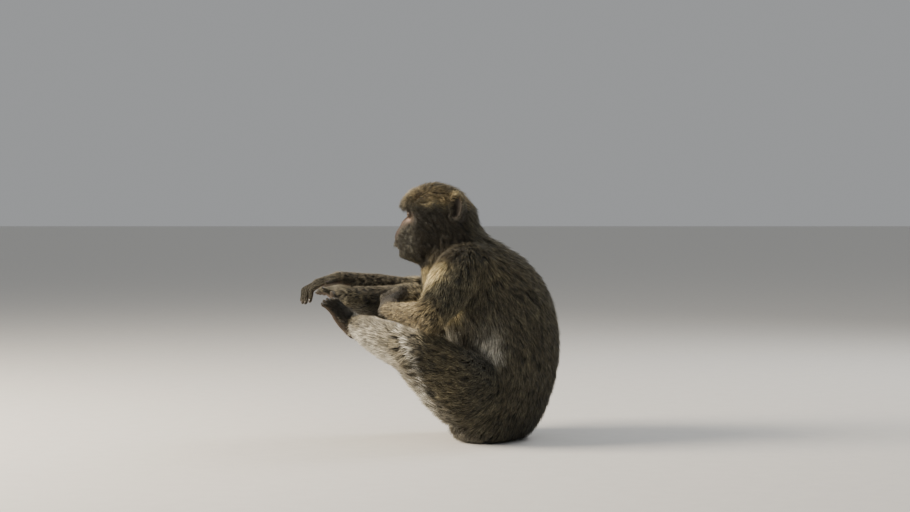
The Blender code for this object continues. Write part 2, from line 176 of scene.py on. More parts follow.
# Where the near calf meets its thigh, on the leg's outer side: y, z.
CALF_LINE = [(-0.0465, 0.2040), (-0.0205, 0.1575), (-0.0050, 0.1105), (0.0160, 0.0590), (0.0360, 0.0220)]
EYE_AT, EYE_RADIUS = np.array([0.0170, -0.0345, 0.3915]), 0.0098
GAZE = np.array([0.20, -0.975, -0.06])
CORNEA_HALF, CORNEA_RISE = 33.0, 0.0010  # degrees from the gaze to its edge, and its rise at the gaze
LIDS_HALF, UPPER_LID, LOWER_LID = 46.0, 19.0, -21.0  # degrees about the gaze: across, and up to each lid
LID_THICK, LID_DEEP, BALL_GAP = 0.0009, 0.0022, 0.0004  # skin over the ball, hollow behind it, play round it
EAR_AT = np.array([0.0545, 0.0405, 0.4035])
PAD_AT, PAD_HALF = np.array([0.028, 0.096, 0.0]), (0.018, 0.029, 0.008)

# Regions of coat: landmarks, direction across, depth of the skin, coat depth, hair length, and how far the
# hair hangs.
OUT, SHIN_L, SHIN_R, DOWN = (1.0, 0.0, 0.0), (0.5, 0.7, 0.4), (-0.5, 0.7, 0.4), (0.0, 0.35, 1.0)
REGIONS = {
    "trunk": (TRUNK, OUT, 0.0135, 0.0140, 0.034, 0.0),
    "upper_arm_L": (UPPER_ARM_L, OUT, 0.0110, 0.0120, 0.030, 0.5),
    "upper_arm_R": (UPPER_ARM_R, OUT, 0.0110, 0.0120, 0.030, 0.5),
    "forearm_L": (FOREARM_L, DOWN, 0.0050, 0.0070, 0.018, 0.35),
    "forearm_R": (FOREARM_R, OUT, 0.0055, 0.0070, 0.019, 0.35),
    "thigh_L": (THIGH_L, OUT, 0.0110, 0.0130, 0.030, 0.35),
    "thigh_R": (THIGH_R, OUT, 0.0110, 0.0130, 0.030, 0.35),
    "shank_L": (SHANK_L, SHIN_L, 0.0075, 0.0110, 0.028, 0.15),
    "shank_R": (SHANK_R, SHIN_R, 0.0075, 0.0100, 0.026, 0.30),
}
# On the head: place, way the hair lies, hair length, coat depth. The left side; the right mirrors it.
HEAD_FLOW = [
    ((0.010, -0.052, 0.406), (0.05, -0.50, -0.60), 0.009, 0.0075),  # fringe over the brow
    ((0.026, -0.047, 0.406), (0.25, -0.40, -0.60), 0.009, 0.0070),
    ((0.036, -0.032, 0.404), (0.60, 0.30, 0.10), 0.011, 0.007),
    ((0.012, -0.046, 0.417), (0.10, -0.70, -0.20), 0.013, 0.0095),  # forehead
    ((0.012, -0.036, 0.426), (0.10, -0.55, 0.40), 0.015, 0.0120),
    ((0.012, -0.022, 0.433), (0.10, 0.10, 0.80), 0.018, 0.0140),
    ((0.012, -0.002, 0.438), (0.10, 0.90, 0.30), 0.022, 0.014),
    ((0.012, 0.035, 0.431), (0.10, 0.85, -0.20), 0.024, 0.015),
    ((0.010, 0.062, 0.405), (0.05, 0.65, -0.70), 0.026, 0.016),
    ((0.038, -0.012, 0.400), (0.25, 0.90, -0.10), 0.013, 0.009),  # temple
    ((0.038, -0.015, 0.376), (0.25, 0.90, -0.30), 0.011, 0.006),
    ((0.038, -0.008, 0.356), (0.30, 0.90, -0.35), 0.015, 0.009),  # cheek
    ((0.030, 0.000, 0.336), (0.20, 0.85, -0.50), 0.016, 0.011),
    ((0.027, -0.034, 0.352), (0.30, 0.80, -0.35), 0.0055, 0.0020),  # muzzle
    ((0.022, -0.052, 0.352), (0.30, 0.80, -0.35), 0.0040, 0.0014),
    ((0.024, -0.040, 0.334), (0.30, 0.80, -0.45), 0.0055, 0.0020),
    ((0.016, -0.054, 0.328), (0.25, 0.75, -0.55), 0.0045, 0.0014),
    ((0.000, -0.054, 0.320), (0.00, 0.60, -0.75), 0.0055, 0.0022),
    ((0.000, -0.030, 0.312), (0.00, 0.85, -0.45), 0.0100, 0.0060),
    ((0.010, -0.014, 0.310), (0.10, -0.30, -0.90), 0.0300, 0.0150),  # throat
    ((0.044, 0.025, 0.420), (0.55, 0.55, 0.25), 0.018, 0.014),  # tufts before and above the ear
    ((0.048, 0.022, 0.398), (0.30, 0.80, -0.20), 0.008, 0.004),
    ((0.048, 0.058, 0.395), (0.30, 0.80, -0.45), 0.022, 0.014),
    ((0.042, 0.030, 0.360), (0.30, 0.75, -0.60), 0.020, 0.013),
]
HEAD_REACH = 0.018
# The thin ear's hair: place, way it lies, length, depth, reach, at three heights on its edge and on its back.
EAR_FLOW = [
    ((x, y, EAR_AT[2] + up), (0.0, 0.75, 0.45), 0.0050, 0.0013, 0.011)
    for x, y in ((0.0590, 0.0415), (0.0550, 0.0500)) for up in (-0.014, 0.0, 0.014)
]
# Where the hair of two regions would part: place, reach, way the hair lies, coat depth, hair length, region.
PARTINGS = [
    ((0.082, 0.058, 0.328), 0.028, (0.20, -0.05, -1.0), 0.0125, 0.030, "upper_arm_"),  # top of the shoulder
    ((0.085, 0.042, 0.026), 0.026, (0.40, -0.45, -0.75), 0.0150, 0.034, "trunk"),  # seat, under the thighs
    ((0.040, 0.034, 0.022), 0.026, (0.10, -0.50, -0.80), 0.0150, 0.034, "trunk"),
    ((0.108, 0.090, 0.026), 0.026, (0.60, 0.00, -0.75), 0.0150, 0.034, "trunk"),
    ((0.118, 0.080, 0.142), 0.028, (0.10, -0.35, -0.95), 0.0130, 0.030, "thigh_"),  # hip
]
KNEE_PARTING = ((0.196, -0.036, 0.160), 0.028, (0.0, -0.35, -0.90), 0.0120, 0.024, "shank_L")

# Patches of colour, some of them painted light and shade: place, radii and strength. The left side; the right
# mirrors it, except on the shins.
PALE_SPOTS = [
    ((0.050, 0.034, 0.428), (0.012, 0.014, 0.007), 1.0),  # above the ear
    ((0.046, -0.018, 0.409), (0.012, 0.012, 0.004), 0.45),
    ((0.040, -0.016, 0.353), (0.012, 0.005, 0.006), 0.40),
]
# Pale shin hair on the near leg only, brightened as painted sunlight; the far shin has none, as painted
# shade.
SHIN_PALE_AND_SUNLIT_SPOTS = [
    ((0.118, -0.074, 0.176), (0.055, 0.042, 0.030), 1.0),
    ((0.160, -0.030, 0.155), (0.035, 0.020, 0.036), 0.8),
]
FLANK_SPOTS = [
    ((0.112, 0.102, 0.180), (0.040, 0.016, 0.024), 1.45),
    ((0.105, 0.086, 0.180), (0.040, 0.026, 0.036), 0.60),
]
DARK_SPOTS = [
    ((0.000, -0.024, 0.440), (0.020, 0.030, 0.006), 0.30),  # top of the head
    ((0.000, -0.046, 0.416), (0.045, 0.020, 0.016), 0.42),
]
FACE_SPOTS = {
    "socket": [
        # Dark skin round the eyes, deepened as painted shade under the brow.
        ((0.016, -0.044, 0.3940), (0.022, 0.018, 0.0088), 1.3),
        # Painted shade in the nostril.
        ((0.006, -0.0650, 0.3525), (0.0085, 0.009, 0.0075), 0.9),
    ],
    "lid": [
        ((0.0220, -0.0400, 0.3815), (0.0080, 0.010, 0.0034), 0.85),
        ((0.0095, -0.0500, 0.3790), (0.0030, 0.007, 0.0080), 0.35),
    ],
    "rosy": [
        ((0.0040, -0.0660, 0.3360), (0.0120, 0.010, 0.0035), 0.55),
        ((0.0, -0.0600, 0.3295), (0.0120, 0.010, 0.0022), 0.40),
    ],
}


# ---------------------------------------------------------------- small helpers
def unit(vector):
    """The vector, or each row of an array, scaled to length one."""
    vector = np.asarray(vector, float)
    return vector / np.maximum(np.linalg.norm(vector, axis=-1, keepdims=True), 1e-12)


def smooth(value, low, high):
    """0 below low, 1 above high, and an even S-curve between them; low may be the larger."""
    t = np.clip((np.asarray(value, float) - low) / (high - low), 0.0, 1.0)
    return t * t * (3.0 - 2.0 * t)


def bell(points, centre, radii):
    """exp(-r^2), where r is the distance from the centre in units of the three radii."""
    return np.exp(-((((points - centre) / radii) ** 2).sum(axis=1)))


def between(value, start, full, last, end):
    """Rises from 0 at the start to 1 at the second value, and falls from 1 at the third to 0 at the end."""
    return smooth(value, start, full) * smooth(value, end, last)


def mirrored(vector, side):
    """The vector on its own side for 1, and across the middle plane for -1."""
    return np.asarray(vector, float) * [side, 1, 1]


def folded(points):
    """The points with the right side mirrored onto the left."""
    return np.abs(points[:, :1]) * [1, 0, 0] + points * [0, 1, 1]


def ripple(points, wavelength, seed):
    """Smooth noise near -1..1: the mean of eight sine waves of about this length in random directions."""
    rng = np.random.default_rng(seed)
    ways = unit(rng.normal(size=(8, 3))) * rng.uniform(0.7, 1.4, (8, 1)) * 2 * math.pi / wavelength
    return np.sin(points @ ways.T + rng.uniform(0, 2 * math.pi, 8)).mean(axis=1) * 2.2


def curve_through(rows, steps=5):
    """The rows joined by a Catmull-Rom curve, with this many steps between two of them."""
    rows = np.asarray(rows, float)
    ends = np.vstack([2 * rows[0] - rows[1], rows, 2 * rows[-1] - rows[-2]])
    t = (np.arange(steps) / steps)[:, None]
    found = [
        0.5 * (2 * b + (c - a) * t + (2 * a - 5 * b + 4 * c - d) * t**2 + (3 * b - a - 3 * c + d) * t**3)
        for a, b, c, d in zip(ends[:-3], ends[1:-2], ends[2:-1], ends[3:])
    ]
    return np.vstack([*found, rows[-1:]])


def from_curve(points, rows, steps, radius=None):
    """Each point's distance to the curve through the rows, less the radius where its column is given."""
    return np.min([
        np.linalg.norm(points - row[:3], axis=1) - (0.0 if radius is None else row[radius])
        for row in curve_through(rows, steps)
    ], axis=0)


def path_frame(rows, across, steps=5):
    """Centres, half widths, half depths, tangents, sides and fronts along a limb."""
    path = curve_through(rows, steps)
    tangents = unit(np.gradient(path[:, :3], axis=0))
    across = np.asarray(across, float)
    sides = unit(across - (tangents @ across)[:, None] * tangents)
    return path[:, :3], path[:, 3], path[:, 4], tangents, sides, np.cross(tangents, sides)


def build_mesh(name, points, quads=None, triangles=None):
    """A mesh from arrays of points, four-sided and three-sided faces."""
    quads = np.zeros((0, 4), int) if quads is None else np.asarray(quads)
    triangles = np.zeros((0, 3), int) if triangles is None else np.asarray(triangles)
    mesh = bpy.data.meshes.new(name)
    mesh.vertices.add(len(points))
    mesh.vertices.foreach_set("co", np.ascontiguousarray(points, np.float32).ravel())
    corners = np.concatenate([quads.ravel(), triangles.ravel()]).astype(np.int32)
    mesh.loops.add(len(corners))
    mesh.loops.foreach_set("vertex_index", corners)
    starts = np.concatenate([np.arange(len(quads)) * 4, len(quads) * 4 + np.arange(len(triangles)) * 3])
    mesh.polygons.add(len(starts))
    mesh.polygons.foreach_set("loop_start", starts.astype(np.int32))
    mesh.update(calc_edges=True)
    mesh.validate()
    return mesh


def within_box(points, margin):
    """The points, in the row's frame, kept this far inside the solids' box and no lower than the floor."""
    low, high = np.array(CAD_BOX[0]) + margin, np.array(CAD_BOX[1]) - margin
    low[2] -= margin
    return np.clip(points, low, high)


def add_object(name, mesh):
    """An object in the scene that holds this mesh, light or camera."""
    made = bpy.data.objects.new(name, mesh)
    bpy.context.scene.collection.objects.link(made)
    return made


def ring_faces(count, around, base=0):
    """Quads between rings stored one after the other, and a fan over each end, whose poles come last."""
    i, j = np.meshgrid(np.arange(count - 1), np.arange(around), indexing="ij")
    k = (j + 1) % around
    quads = np.stack([i * around + j, i * around + k, (i + 1) * around + k, (i + 1) * around + j], axis=-1)
    j = np.arange(around)
    k = (j + 1) % around
    pole, end = np.full(around, count * around), (count - 1) * around
    first = np.stack([pole, k, j], axis=1)
    last = np.stack([pole + 1, end + j, end + k], axis=1)
    return quads.reshape(-1, 4) + base, np.vstack([first, last]) + base


def closed_loft(rings):
    """Points, quads and triangles of rings joined in order, with each end closed by a fan to its middle."""
    count, around, _ = rings.shape
    points = np.vstack([rings.reshape(-1, 3), rings[0].mean(axis=0), rings[-1].mean(axis=0)])
    return (points, *ring_faces(count, around))


def superellipse(around, squareness):
    """Both coordinates round |x|^s + |y|^s = 1, with s the squareness: 2 is a circle."""
    turns = np.linspace(0, 2 * math.pi, around, endpoint=False)
    return [np.sign(part) * np.abs(part) ** (2.0 / squareness) for part in (np.cos(turns), np.sin(turns))]


def tube(rows, across, inset=0.0, around=44, squareness=2.0):
    """A limb: at each step a superellipse square to the path, less the inset, with rounded ends."""
    centres, wide, deep, tangents, sides, fronts = path_frame(rows, across, 6)
    wide, deep = np.maximum(wide - inset, 0.003), np.maximum(deep - inset, 0.003)
    reach = 0.5 * (wide + deep)
    caps = np.radians([80, 60, 38, 18])
    index = np.concatenate([np.zeros(4, int), np.arange(len(centres)), np.full(4, len(centres) - 1)])
    slide = np.concatenate([-reach[0] * np.sin(caps), np.zeros(len(centres)), reach[-1] * np.sin(caps[::-1])])
    scale = np.concatenate([np.cos(caps), np.ones(len(centres)), np.cos(caps[::-1])])
    across_part, front_part = superellipse(around, squareness)
    rings = (
        (centres[index] + slide[:, None] * tangents[index])[:, None]
        + (scale * wide[index])[:, None, None] * across_part[None, :, None] * sides[index][:, None]
        + (scale * deep[index])[:, None, None] * front_part[None, :, None] * fronts[index][:, None]
    )
    return closed_loft(rings)


def level_loft(rows, around=40, squareness=2.2):
    """A head form: at each y an upright superellipse between its top and bottom."""
    y, top, low, wide = curve_through(rows, 4).T
    across_part, up_part = superellipse(around, squareness)
    x = wide[:, None] * across_part
    z = 0.5 * (top + low)[:, None] + 0.5 * (top - low)[:, None] * up_part
    return closed_loft(np.stack([x, np.broadcast_to(y[:, None], x.shape), z], axis=-1))


def ellipsoid(centre, half, axes=None, around=24, rings=14):
    """Points of an ellipsoid by angle from its pole and angle round it."""
    polar = np.linspace(0.12, math.pi - 0.12, rings)[:, None]
    turns = np.linspace(0, 2 * math.pi, around, endpoint=False)[None]
    local = np.stack([
        np.sin(polar) * np.cos(turns), np.sin(polar) * np.sin(turns), np.cos(polar) * np.ones_like(turns)
    ], axis=-1) * np.asarray(half)
    axes = np.eye(3) if axes is None else np.asarray(axes)
    return closed_loft(np.asarray(centre) + local @ axes)


def joints_of(form):
    """The wrist or heel, the ball, and where the middle digit bends and ends."""
    return np.array([form[key] for key in ("root", "ball", "bend", "tip")])


def digits_of(form):
    """The middle line of each finger or toe, thumb last, as rows of place and half sizes."""
    root, ball, bend, tip = joints_of(form)
    across = unit(form["across"])
    wide, r = form["width"], form["digit"]
    found = []
    for i, length in enumerate(form["lengths"]):
        spread = across * (i / 1.5 - 1) * (wide - r)
        start = ball * 0.9 + root * 0.1 + spread
        middle = start + (bend - ball) * length + spread * 0.12
        end = middle + (tip - bend) * length + spread * 0.10
        found.append([(*start, r, r), (*(0.5 * (start + middle)), r * 0.86, r * 0.86),
                      (*middle, r * 0.93, r * 0.93), (*(0.45 * middle + 0.55 * end), r * 0.78, r * 0.78),
                      (*end, r * 0.66, r * 0.66)])
    along, side, way, reach = form["thumb"]
    start, way = root + along * (ball - root) + across * side * wide * 0.6, unit(way)
    found.append([(*start, r * 1.15, r * 1.15), (*(start + way * reach * 0.6), r * 0.9, r * 0.9),
                  (*(start + way * reach * 1.15), r * 0.72, r * 0.72)])
    return found


def hand_shapes(form):
    """The palm or sole as a flattened tube, and its digits."""
    root, ball = np.array(form["root"]), np.array(form["ball"])
    wide, thick = form["width"] - 0.001, form["thick"] - 0.0012
    palm = [(*root, 0.70 * wide, 1.05 * thick), (*(0.5 * (root + ball)), 0.95 * wide, 1.0 * thick),
            (*(0.85 * ball + 0.15 * root), wide, 0.80 * thick)]
    digits = [tube(rows, form["across"], 0.0006, 16) for rows in digits_of(form)]
    return [tube(palm, form["across"], 0.0, 24), *digits]


def ear_axes(side):
    """The way out of the ear's hollow, the way from its front edge to its back edge, and the way up it."""
    return unit(np.array([[side * 0.90, -0.40, 0.12], [side * 0.40, 0.91, 0.0], [side * -0.11, 0.05, 0.99]]))


def ear_shapes(side):
    """A thin disc that flares from the head, a rolled rim from its front over its top to the lobe, a root."""
    centre, axes = mirrored(EAR_AT, side), ear_axes(side)
    disc = ellipsoid(centre, (0.0028, 0.0126, 0.0198), axes)
    turns = np.radians(np.linspace(-125, 150, 17))
    forth, up = np.cos(turns), np.sin(turns)
    rim = centre + np.stack([0.0014 + 0.0012 * forth, 0.0123 * forth, 0.0192 * up], axis=1) @ axes
    root = [(side * 0.036, 0.033, 0.397, 0.014, 0.013), (side * 0.049, 0.036, 0.400, 0.007, 0.012)]
    return [disc, tube([(*p, 0.0019, 0.0019) for p in rim], axes[0], 0.0, 10), tube(root, (0, 1, 0))]


# ---------------------------------------------------------------- skin
def outward(obj):
    """Turns every face of the closed mesh to point out."""
    work = bmesh.new()
    work.from_mesh(obj.data)
    bmesh.ops.recalc_face_normals(work, faces=work.faces)
    work.to_mesh(obj.data)
    work.free()
    return obj


def joined_shapes(name, shapes):
    """One mesh object holding all these closed shapes, which may overlap."""
    points, quads, triangles, base = [], [], [], 0
    for p, q, t in shapes:
        points.append(p)
        quads.append(q + base)
        triangles.append(t + base)
        base += len(p)
    made = add_object(name, build_mesh(name, np.vstack(points), np.vstack(quads), np.vstack(triangles)))
    return outward(made)


def apply_modifiers(obj):
    """Puts the result of the modifiers into the mesh."""
    bpy.context.view_layer.update()
    graph = bpy.context.evaluated_depsgraph_get()
    mesh = bpy.data.meshes.new_from_object(obj.evaluated_get(graph))
    obj.modifiers.clear()
    obj.data = mesh


def points_of(mesh):
    """The places of the mesh's points."""
    found = np.empty(len(mesh.vertices) * 3, np.float32)
    mesh.vertices.foreach_get("co", found)
    return found.reshape(-1, 3).astype(float)


def place_points(mesh, points):
    """Moves the mesh's points to these places."""
    mesh.vertices.foreach_set("co", points.astype(np.float32).ravel())
    mesh.update()


def normals_of(mesh):
    """The outward direction at each of the mesh's points."""
    found = np.empty(len(mesh.vertices) * 3, np.float32)
    mesh.vertex_normals.foreach_get("vector", found)
    return found.reshape(-1, 3).astype(float)


def bareness(points):
    """How far from furred a place is by position alone: 1 on the face, hands and feet."""
    y, z = points[:, 1], points[:, 2]
    face = smooth(y, -0.008, -0.020) * smooth(z, 0.406, 0.396) * smooth(z, 0.28, 0.30)
    near = lambda form: np.min([from_curve(points, rows, 4, 3) for rows in digits_of(form)], axis=0)
    hands = np.max([smooth(near(form) - 0.004, 0.012, 0.002) for form in HANDS.values()], axis=0)
    return np.maximum(face, hands)


def base_skin():
    """The unhaired animal as one surface, in few faces except on the face, hands and feet."""
    shapes = [tube(rows, across, inset) for rows, across, inset, *_ in REGIONS.values()]
    shapes += [level_loft(SKULL), level_loft(MUZZLE, squareness=2.4)]
    for form in HANDS.values():
        shapes += hand_shapes(form)
    for side in (1, -1):
        shapes += ear_shapes(side)
        shapes += [ellipsoid(mirrored(place, side), half) for place, half in (
            ((0.0165, -0.0440, 0.4040), (0.0175, 0.0085, 0.0055)),  # brow
            ((0.0235, -0.0240, 0.3760), (0.0120, 0.0160, 0.0120)),  # cheekbone
            (EYE_AT, (0.0108, 0.0108, 0.0108)),
            (PAD_AT + [0, 0, 0.005], (*PAD_HALF[:2], 0.0075)),
            ((0.066, 0.090, 0.028), (0.047, 0.052, 0.026)),  # haunch, spread by the seat
        )]
    skin = joined_shapes("skin", shapes)
    remesh = skin.modifiers.new("Fuse", "REMESH")
    remesh.mode, remesh.voxel_size = "VOXEL", SKIN_VOXEL
    ease = skin.modifiers.new("Ease", "SMOOTH")
    ease.factor, ease.iterations = 0.5, 4
    skin.modifiers.new("Split", "TRIANGULATE")
    apply_modifiers(skin)
    keep = bareness(points_of(skin.data))
    group = skin.vertex_groups.new(name="fine")
    order = np.argsort(keep)
    levels = np.round(keep[order] * 4) / 4
    for level in np.unique(levels):
        group.add(order[levels == level].tolist(), float(1.0 - 0.97 * level), "REPLACE")
    thin = skin.modifiers.new("Thin", "DECIMATE")
    thin.vertex_group, thin.vertex_group_factor = "fine", 4.0
    thin.ratio = SKIN_TRIANGLES / len(skin.data.polygons)
    apply_modifiers(skin)
    skin.vertex_groups.clear()
    return skin


def refine(skin, where, times):
    """Splits each face whose middle passes the test into four, this many times."""
    for _ in range(times):
        work = bmesh.new()
        work.from_mesh(skin.data)
        edges = [e for e in work.edges if where((e.verts[0].co + e.verts[1].co) * 0.5)]
        bmesh.ops.subdivide_edges(work, edges=edges, cuts=1, use_grid_fill=True)
        bmesh.ops.triangulate(work, faces=work.faces)
        work.to_mesh(skin.data)
        work.free()


def shape_eye(points, side):
    """Lids round the eyeball. Within an almond about the gaze the skin drops behind the ball. Round it the
    skin stands proud of the ball by a lid's thickness, and that fades into the face further out."""
    centre, gaze = mirrored(EYE_AT, side), unit(mirrored(GAZE, side))
    across = unit(np.cross(gaze, [0, 0, 1.0])) * -side
    up = np.cross(across, gaze) * side
    up = up if up[2] > 0 else -up
    offset = points - centre
    distance = np.linalg.norm(offset, axis=1)
    way = offset / np.maximum(distance, 1e-9)[:, None]
    azimuth = np.degrees(np.arctan2(way @ across, way @ gaze))
    height = np.degrees(np.arcsin(np.clip(way @ up, -1, 1)))
    opening = np.sqrt(np.clip(1 - (azimuth / LIDS_HALF) ** 2, 0, 1))
    margin = np.maximum(height - UPPER_LID * opening, LOWER_LID * opening - height)
    beyond = np.abs(azimuth) - LIDS_HALF
    margin = np.where(beyond > 0, np.maximum(margin, beyond), margin)
    inside = smooth(margin, 1.5, -3.0)
    roll = 0.0007 * np.exp(-(((margin - 4.0) / 5.0) ** 2))
    lid = EYE_RADIUS + LID_THICK + roll - 0.0004 * smooth(margin, 10, 18)
    target = lid * (1 - inside) + (EYE_RADIUS - LID_DEEP) * inside
    angle = np.degrees(np.arccos(np.clip(way @ gaze, -1, 1)))
    weight = smooth(angle, 84, 52) * smooth(distance, 0.030, 0.018)
    return points + way * ((target - distance) * weight)[:, None]


def shape_face(points):
    """Brow, nose, nostrils, lips, cheek folds and chin, each a bell-shaped push in its own direction."""
    side, flat = np.sign(points[:, 0]), folded(points)
    across, y, z = flat.T
    push = np.zeros_like(points)

    def add(centre, radii, way, amount):
        way = unit(way)
        shift = bell(flat, centre, radii) * amount
        push[:, 0] += shift * way[0] * side
        push[:, 1] += shift * way[1]
        push[:, 2] += shift * way[2]

    add((0.000, -0.052, 0.384), (0.0050, 0.0100, 0.0110), (0, -1, 0.5), 0.0016)  # bridge of the nose
    add((0.000, -0.062, 0.362), (0.0055, 0.0060, 0.0100), (0, -1, 0.3), 0.0013)
    add((0.000, -0.046, 0.395), (0.0045, 0.0060, 0.0040), (0, 1, 0), 0.0016)  # dip between the eyes
    add((0.0165, -0.047, 0.4045), (0.0160, 0.0080, 0.0036), (0, -1, 0.2), 0.0022)  # brow ridge
    add((0.0000, -0.049, 0.4040), (0.0060, 0.0080, 0.0034), (0, -1, 0.2), 0.0012)
    add((0.0120, -0.050, 0.3810), (0.0048, 0.0080, 0.0060), (-0.4, 1, 0), 0.0022)  # hollow beside the nose
    add((0.0250, -0.036, 0.3770), (0.0080, 0.0090, 0.0050), (0.3, -1, 0.1), 0.0012)  # cheekbone
    add((0.0185, -0.046, 0.3715), (0.0090, 0.0090, 0.0030), (0, 1, 0.2), 0.0013)  # fold under the eye bag
    add((0.0085, -0.0640, 0.3520), (0.0032, 0.0045, 0.0038), (0.7, -1, 0.1), 0.0012)  # wing of the nose
    add((0.0060, -0.0665, 0.3495), (0.0015, 0.0050, 0.0028), (0.2, 1, 0.35), 0.0030)  # nostril
    add((0.0000, -0.0670, 0.3470), (0.0012, 0.0050, 0.0040), (0, 1, 0), 0.0008)  # groove of the lip
    add((0.0070, -0.0650, 0.3375), (0.0120, 0.0060, 0.0042), (0.1, -1, -0.1), 0.0014)  # upper lip
    add((0.0000, -0.0620, 0.3275), (0.0170, 0.0080, 0.0048), (0, 1, 0.1), 0.0042)  # lower lip, set back
    add((0.0000, -0.0540, 0.3180), (0.0120, 0.0070, 0.0045), (0, -1, -0.4), 0.0014)  # chin
    add((0.0270, -0.0200, 0.3500), (0.0100, 0.0120, 0.0110), (1, 0, 0), 0.0020)  # cheek pouch
    line = 0.3325 + 0.10 * (y + 0.0655) - 0.0012 * smooth(y, -0.040, -0.030)
    mouth = np.exp(-(((z - line) / 0.0010) ** 2)) * smooth(y, -0.026, -0.034)
    outward_way = unit(np.stack([points[:, 0] * 0.8, y + 0.030, z * 0], axis=1))
    push -= outward_way * (mouth * 0.0016)[:, None]
    lips = np.exp(-(((np.abs(z - line) - 0.0024) / 0.0014) ** 2)) * smooth(y, -0.030, -0.040)
    push += outward_way * (lips * 0.0005)[:, None]
    fold = np.exp(-(((y + 0.0505 - 0.35 * (z - 0.352)) / 0.0012) ** 2))
    fold *= between(z, 0.340, 0.346, 0.362, 0.370) * smooth(across, 0.008, 0.014)
    push -= outward_way * (fold * 0.0007)[:, None]
    return points + push * smooth(y, 0.0, -0.012)[:, None]


def shape_ears(points):
    """The hollow of the ear: a bowl pressed into the disc on its outer side, with a ridge left in it."""
    own = ear_own(points)
    outer = smooth(own[:, 0], -0.0005, 0.0015)
    bowl = bell(own, (0.0, -0.0020, -0.0035), (0.010, 0.0063, 0.0098)) * outer
    ridge = bell(own, (0.0, 0.0040, 0.0020), (0.010, 0.0016, 0.0090)) * outer
    push = (0.0016 * ridge - 0.0042 * bowl)[:, None] * ear_axes(1)[0]
    push[:, 0] *= np.sign(points[:, 0])
    return points + push


def shape_creases(points, normals):
    """Fine folds of bare skin on the face and the joints of the digits, along the normal."""
    bare = bareness(points)
    folds = smooth(1 - np.abs(ripple(points, 0.006, 5)), 0.80, 1.0)
    height = 0.00010 * ripple(points, 0.0045, 6) - 0.00012 * folds
    return points + normals * (bare * height)[:, None]


def make_skin():
    """The finished skin: finer faces at the features, then the eyes, face, ears and creases."""
    skin = base_skin()
    refine(skin, lambda p: p.y < -0.020 and 0.300 < p.z < 0.412 and abs(p.x) < 0.045, 1)
    refine(skin, lambda p: (p.y < -0.030 and 0.380 < p.z < 0.404 and 0.004 < abs(p.x) < 0.031)
           or (p.y < -0.050 and 0.330 < p.z < 0.356), 1)
    points = points_of(skin.data)
    points = shape_face(points)
    for side in (1, -1):
        own = points[:, 0] * side > 0
        points[own] = shape_eye(points[own], side)
    points = shape_ears(points)
    place_points(skin.data, points)
    points = shape_creases(points, normals_of(skin.data))
    points = within_box(points + SHIFT, SKIN_INSIDE)
    place_points(skin.data, points)
    skin.data.shade_smooth()
    return skin


# ---------------------------------------------------------------- lie of the coat
HEAD_PATH = [
    (0, -0.066, 0.345, 0.020, 0.022),
    (0, -0.040, 0.362, 0.034, 0.044),
    (0, 0.000, 0.380, 0.045, 0.050),
    (0, 0.040, 0.388, 0.045, 0.042),
    (0, 0.066, 0.388, 0.026, 0.030),
]
SHORT_HAIR, SHORT_DEPTH = 0.0060, 0.0014
CHUNK = 20000  # points worked on at a time
FORMS = {name: (rows, across) for name, (rows, across, *_) in REGIONS.items()}
FORMS["head"] = (HEAD_PATH, OUT)
for limb, form in HANDS.items():
    FORMS[limb] = ([(*joint, form["width"], form["thick"]) for joint in joints_of(form)], form["across"])
FORM_NAMES = list(FORMS)
# Pieces of coat: the forms each covers and the part of their length, from 0 to 1.
PIECES = {
    "coat_rump": (["trunk"], 0.0, 0.36),
    "coat_back": (["trunk"], 0.36, 0.66),
    "coat_shoulders": (["trunk"], 0.66, 1.1),
    "coat_head": (["head"], 0.0, 1.1),
}
for piece, limbs in (("arm", ("upper_arm", "forearm")), ("thigh", ("thigh",)), ("shank", ("shank",))):
    for letter in "LR":
        PIECES[f"coat_{piece}_{letter}"] = ([f"{limb}_{letter}" for limb in limbs], 0.0, 1.1)
PIECES["coat_hands"] = (list(HANDS), 0.0, 1.1)


def coat_guides():
    """Where the lie of the hair is known: place, reach, flow, coat depth, hair length and form in a row."""
    found = []

    def add(place, reach, way, depth, length, form):
        """Adds one guide."""
        found.append((*place, reach, *unit(way), depth, length, FORM_NAMES.index(form)))

    for name, (rows, across, _, depth, length, hang) in REGIONS.items():
        centres, wide, deep, tangents, _, _ = path_frame(rows, across, 4)
        flow = tangents * (-1 if name == "trunk" else 1) + [0, 0, -hang]
        for place, reach, way in zip(centres, 0.5 * (wide + deep), flow):
            add(place, reach, way, depth, length, name)
    for name, form in HANDS.items():
        root, ball, bend, tip = joints_of(form)
        palm = 0.6 * root + 0.4 * ball
        for place, way in ((palm, ball - root), (ball, bend - ball), (bend, tip - bend), (tip, tip - bend)):
            add(place, form["width"] * 1.1, way, SHORT_DEPTH, SHORT_HAIR, name)
        thumb = curve_through(np.array(digits_of(form)[-1])[:, :3], 2)
        for place in thumb[1:]:
            add(place, form["width"] * 0.9, thumb[-1] - thumb[0], SHORT_DEPTH, SHORT_HAIR, name)
    for side, letter in ((1, "L"), (-1, "R")):
        for place, reach, way, depth, length, name in PARTINGS:
            name = name + letter if name.endswith("_") else name
            add(mirrored(place, side), reach, mirrored(way, side), depth, length, name)
    add(*KNEE_PARTING)
    for place, way, length, depth, reach in [(*row, HEAD_REACH) for row in HEAD_FLOW] + EAR_FLOW:
        for side in (1, -1):
            add(mirrored(place, side), reach, mirrored(way, side), depth, length, "head")
    return np.array(found)


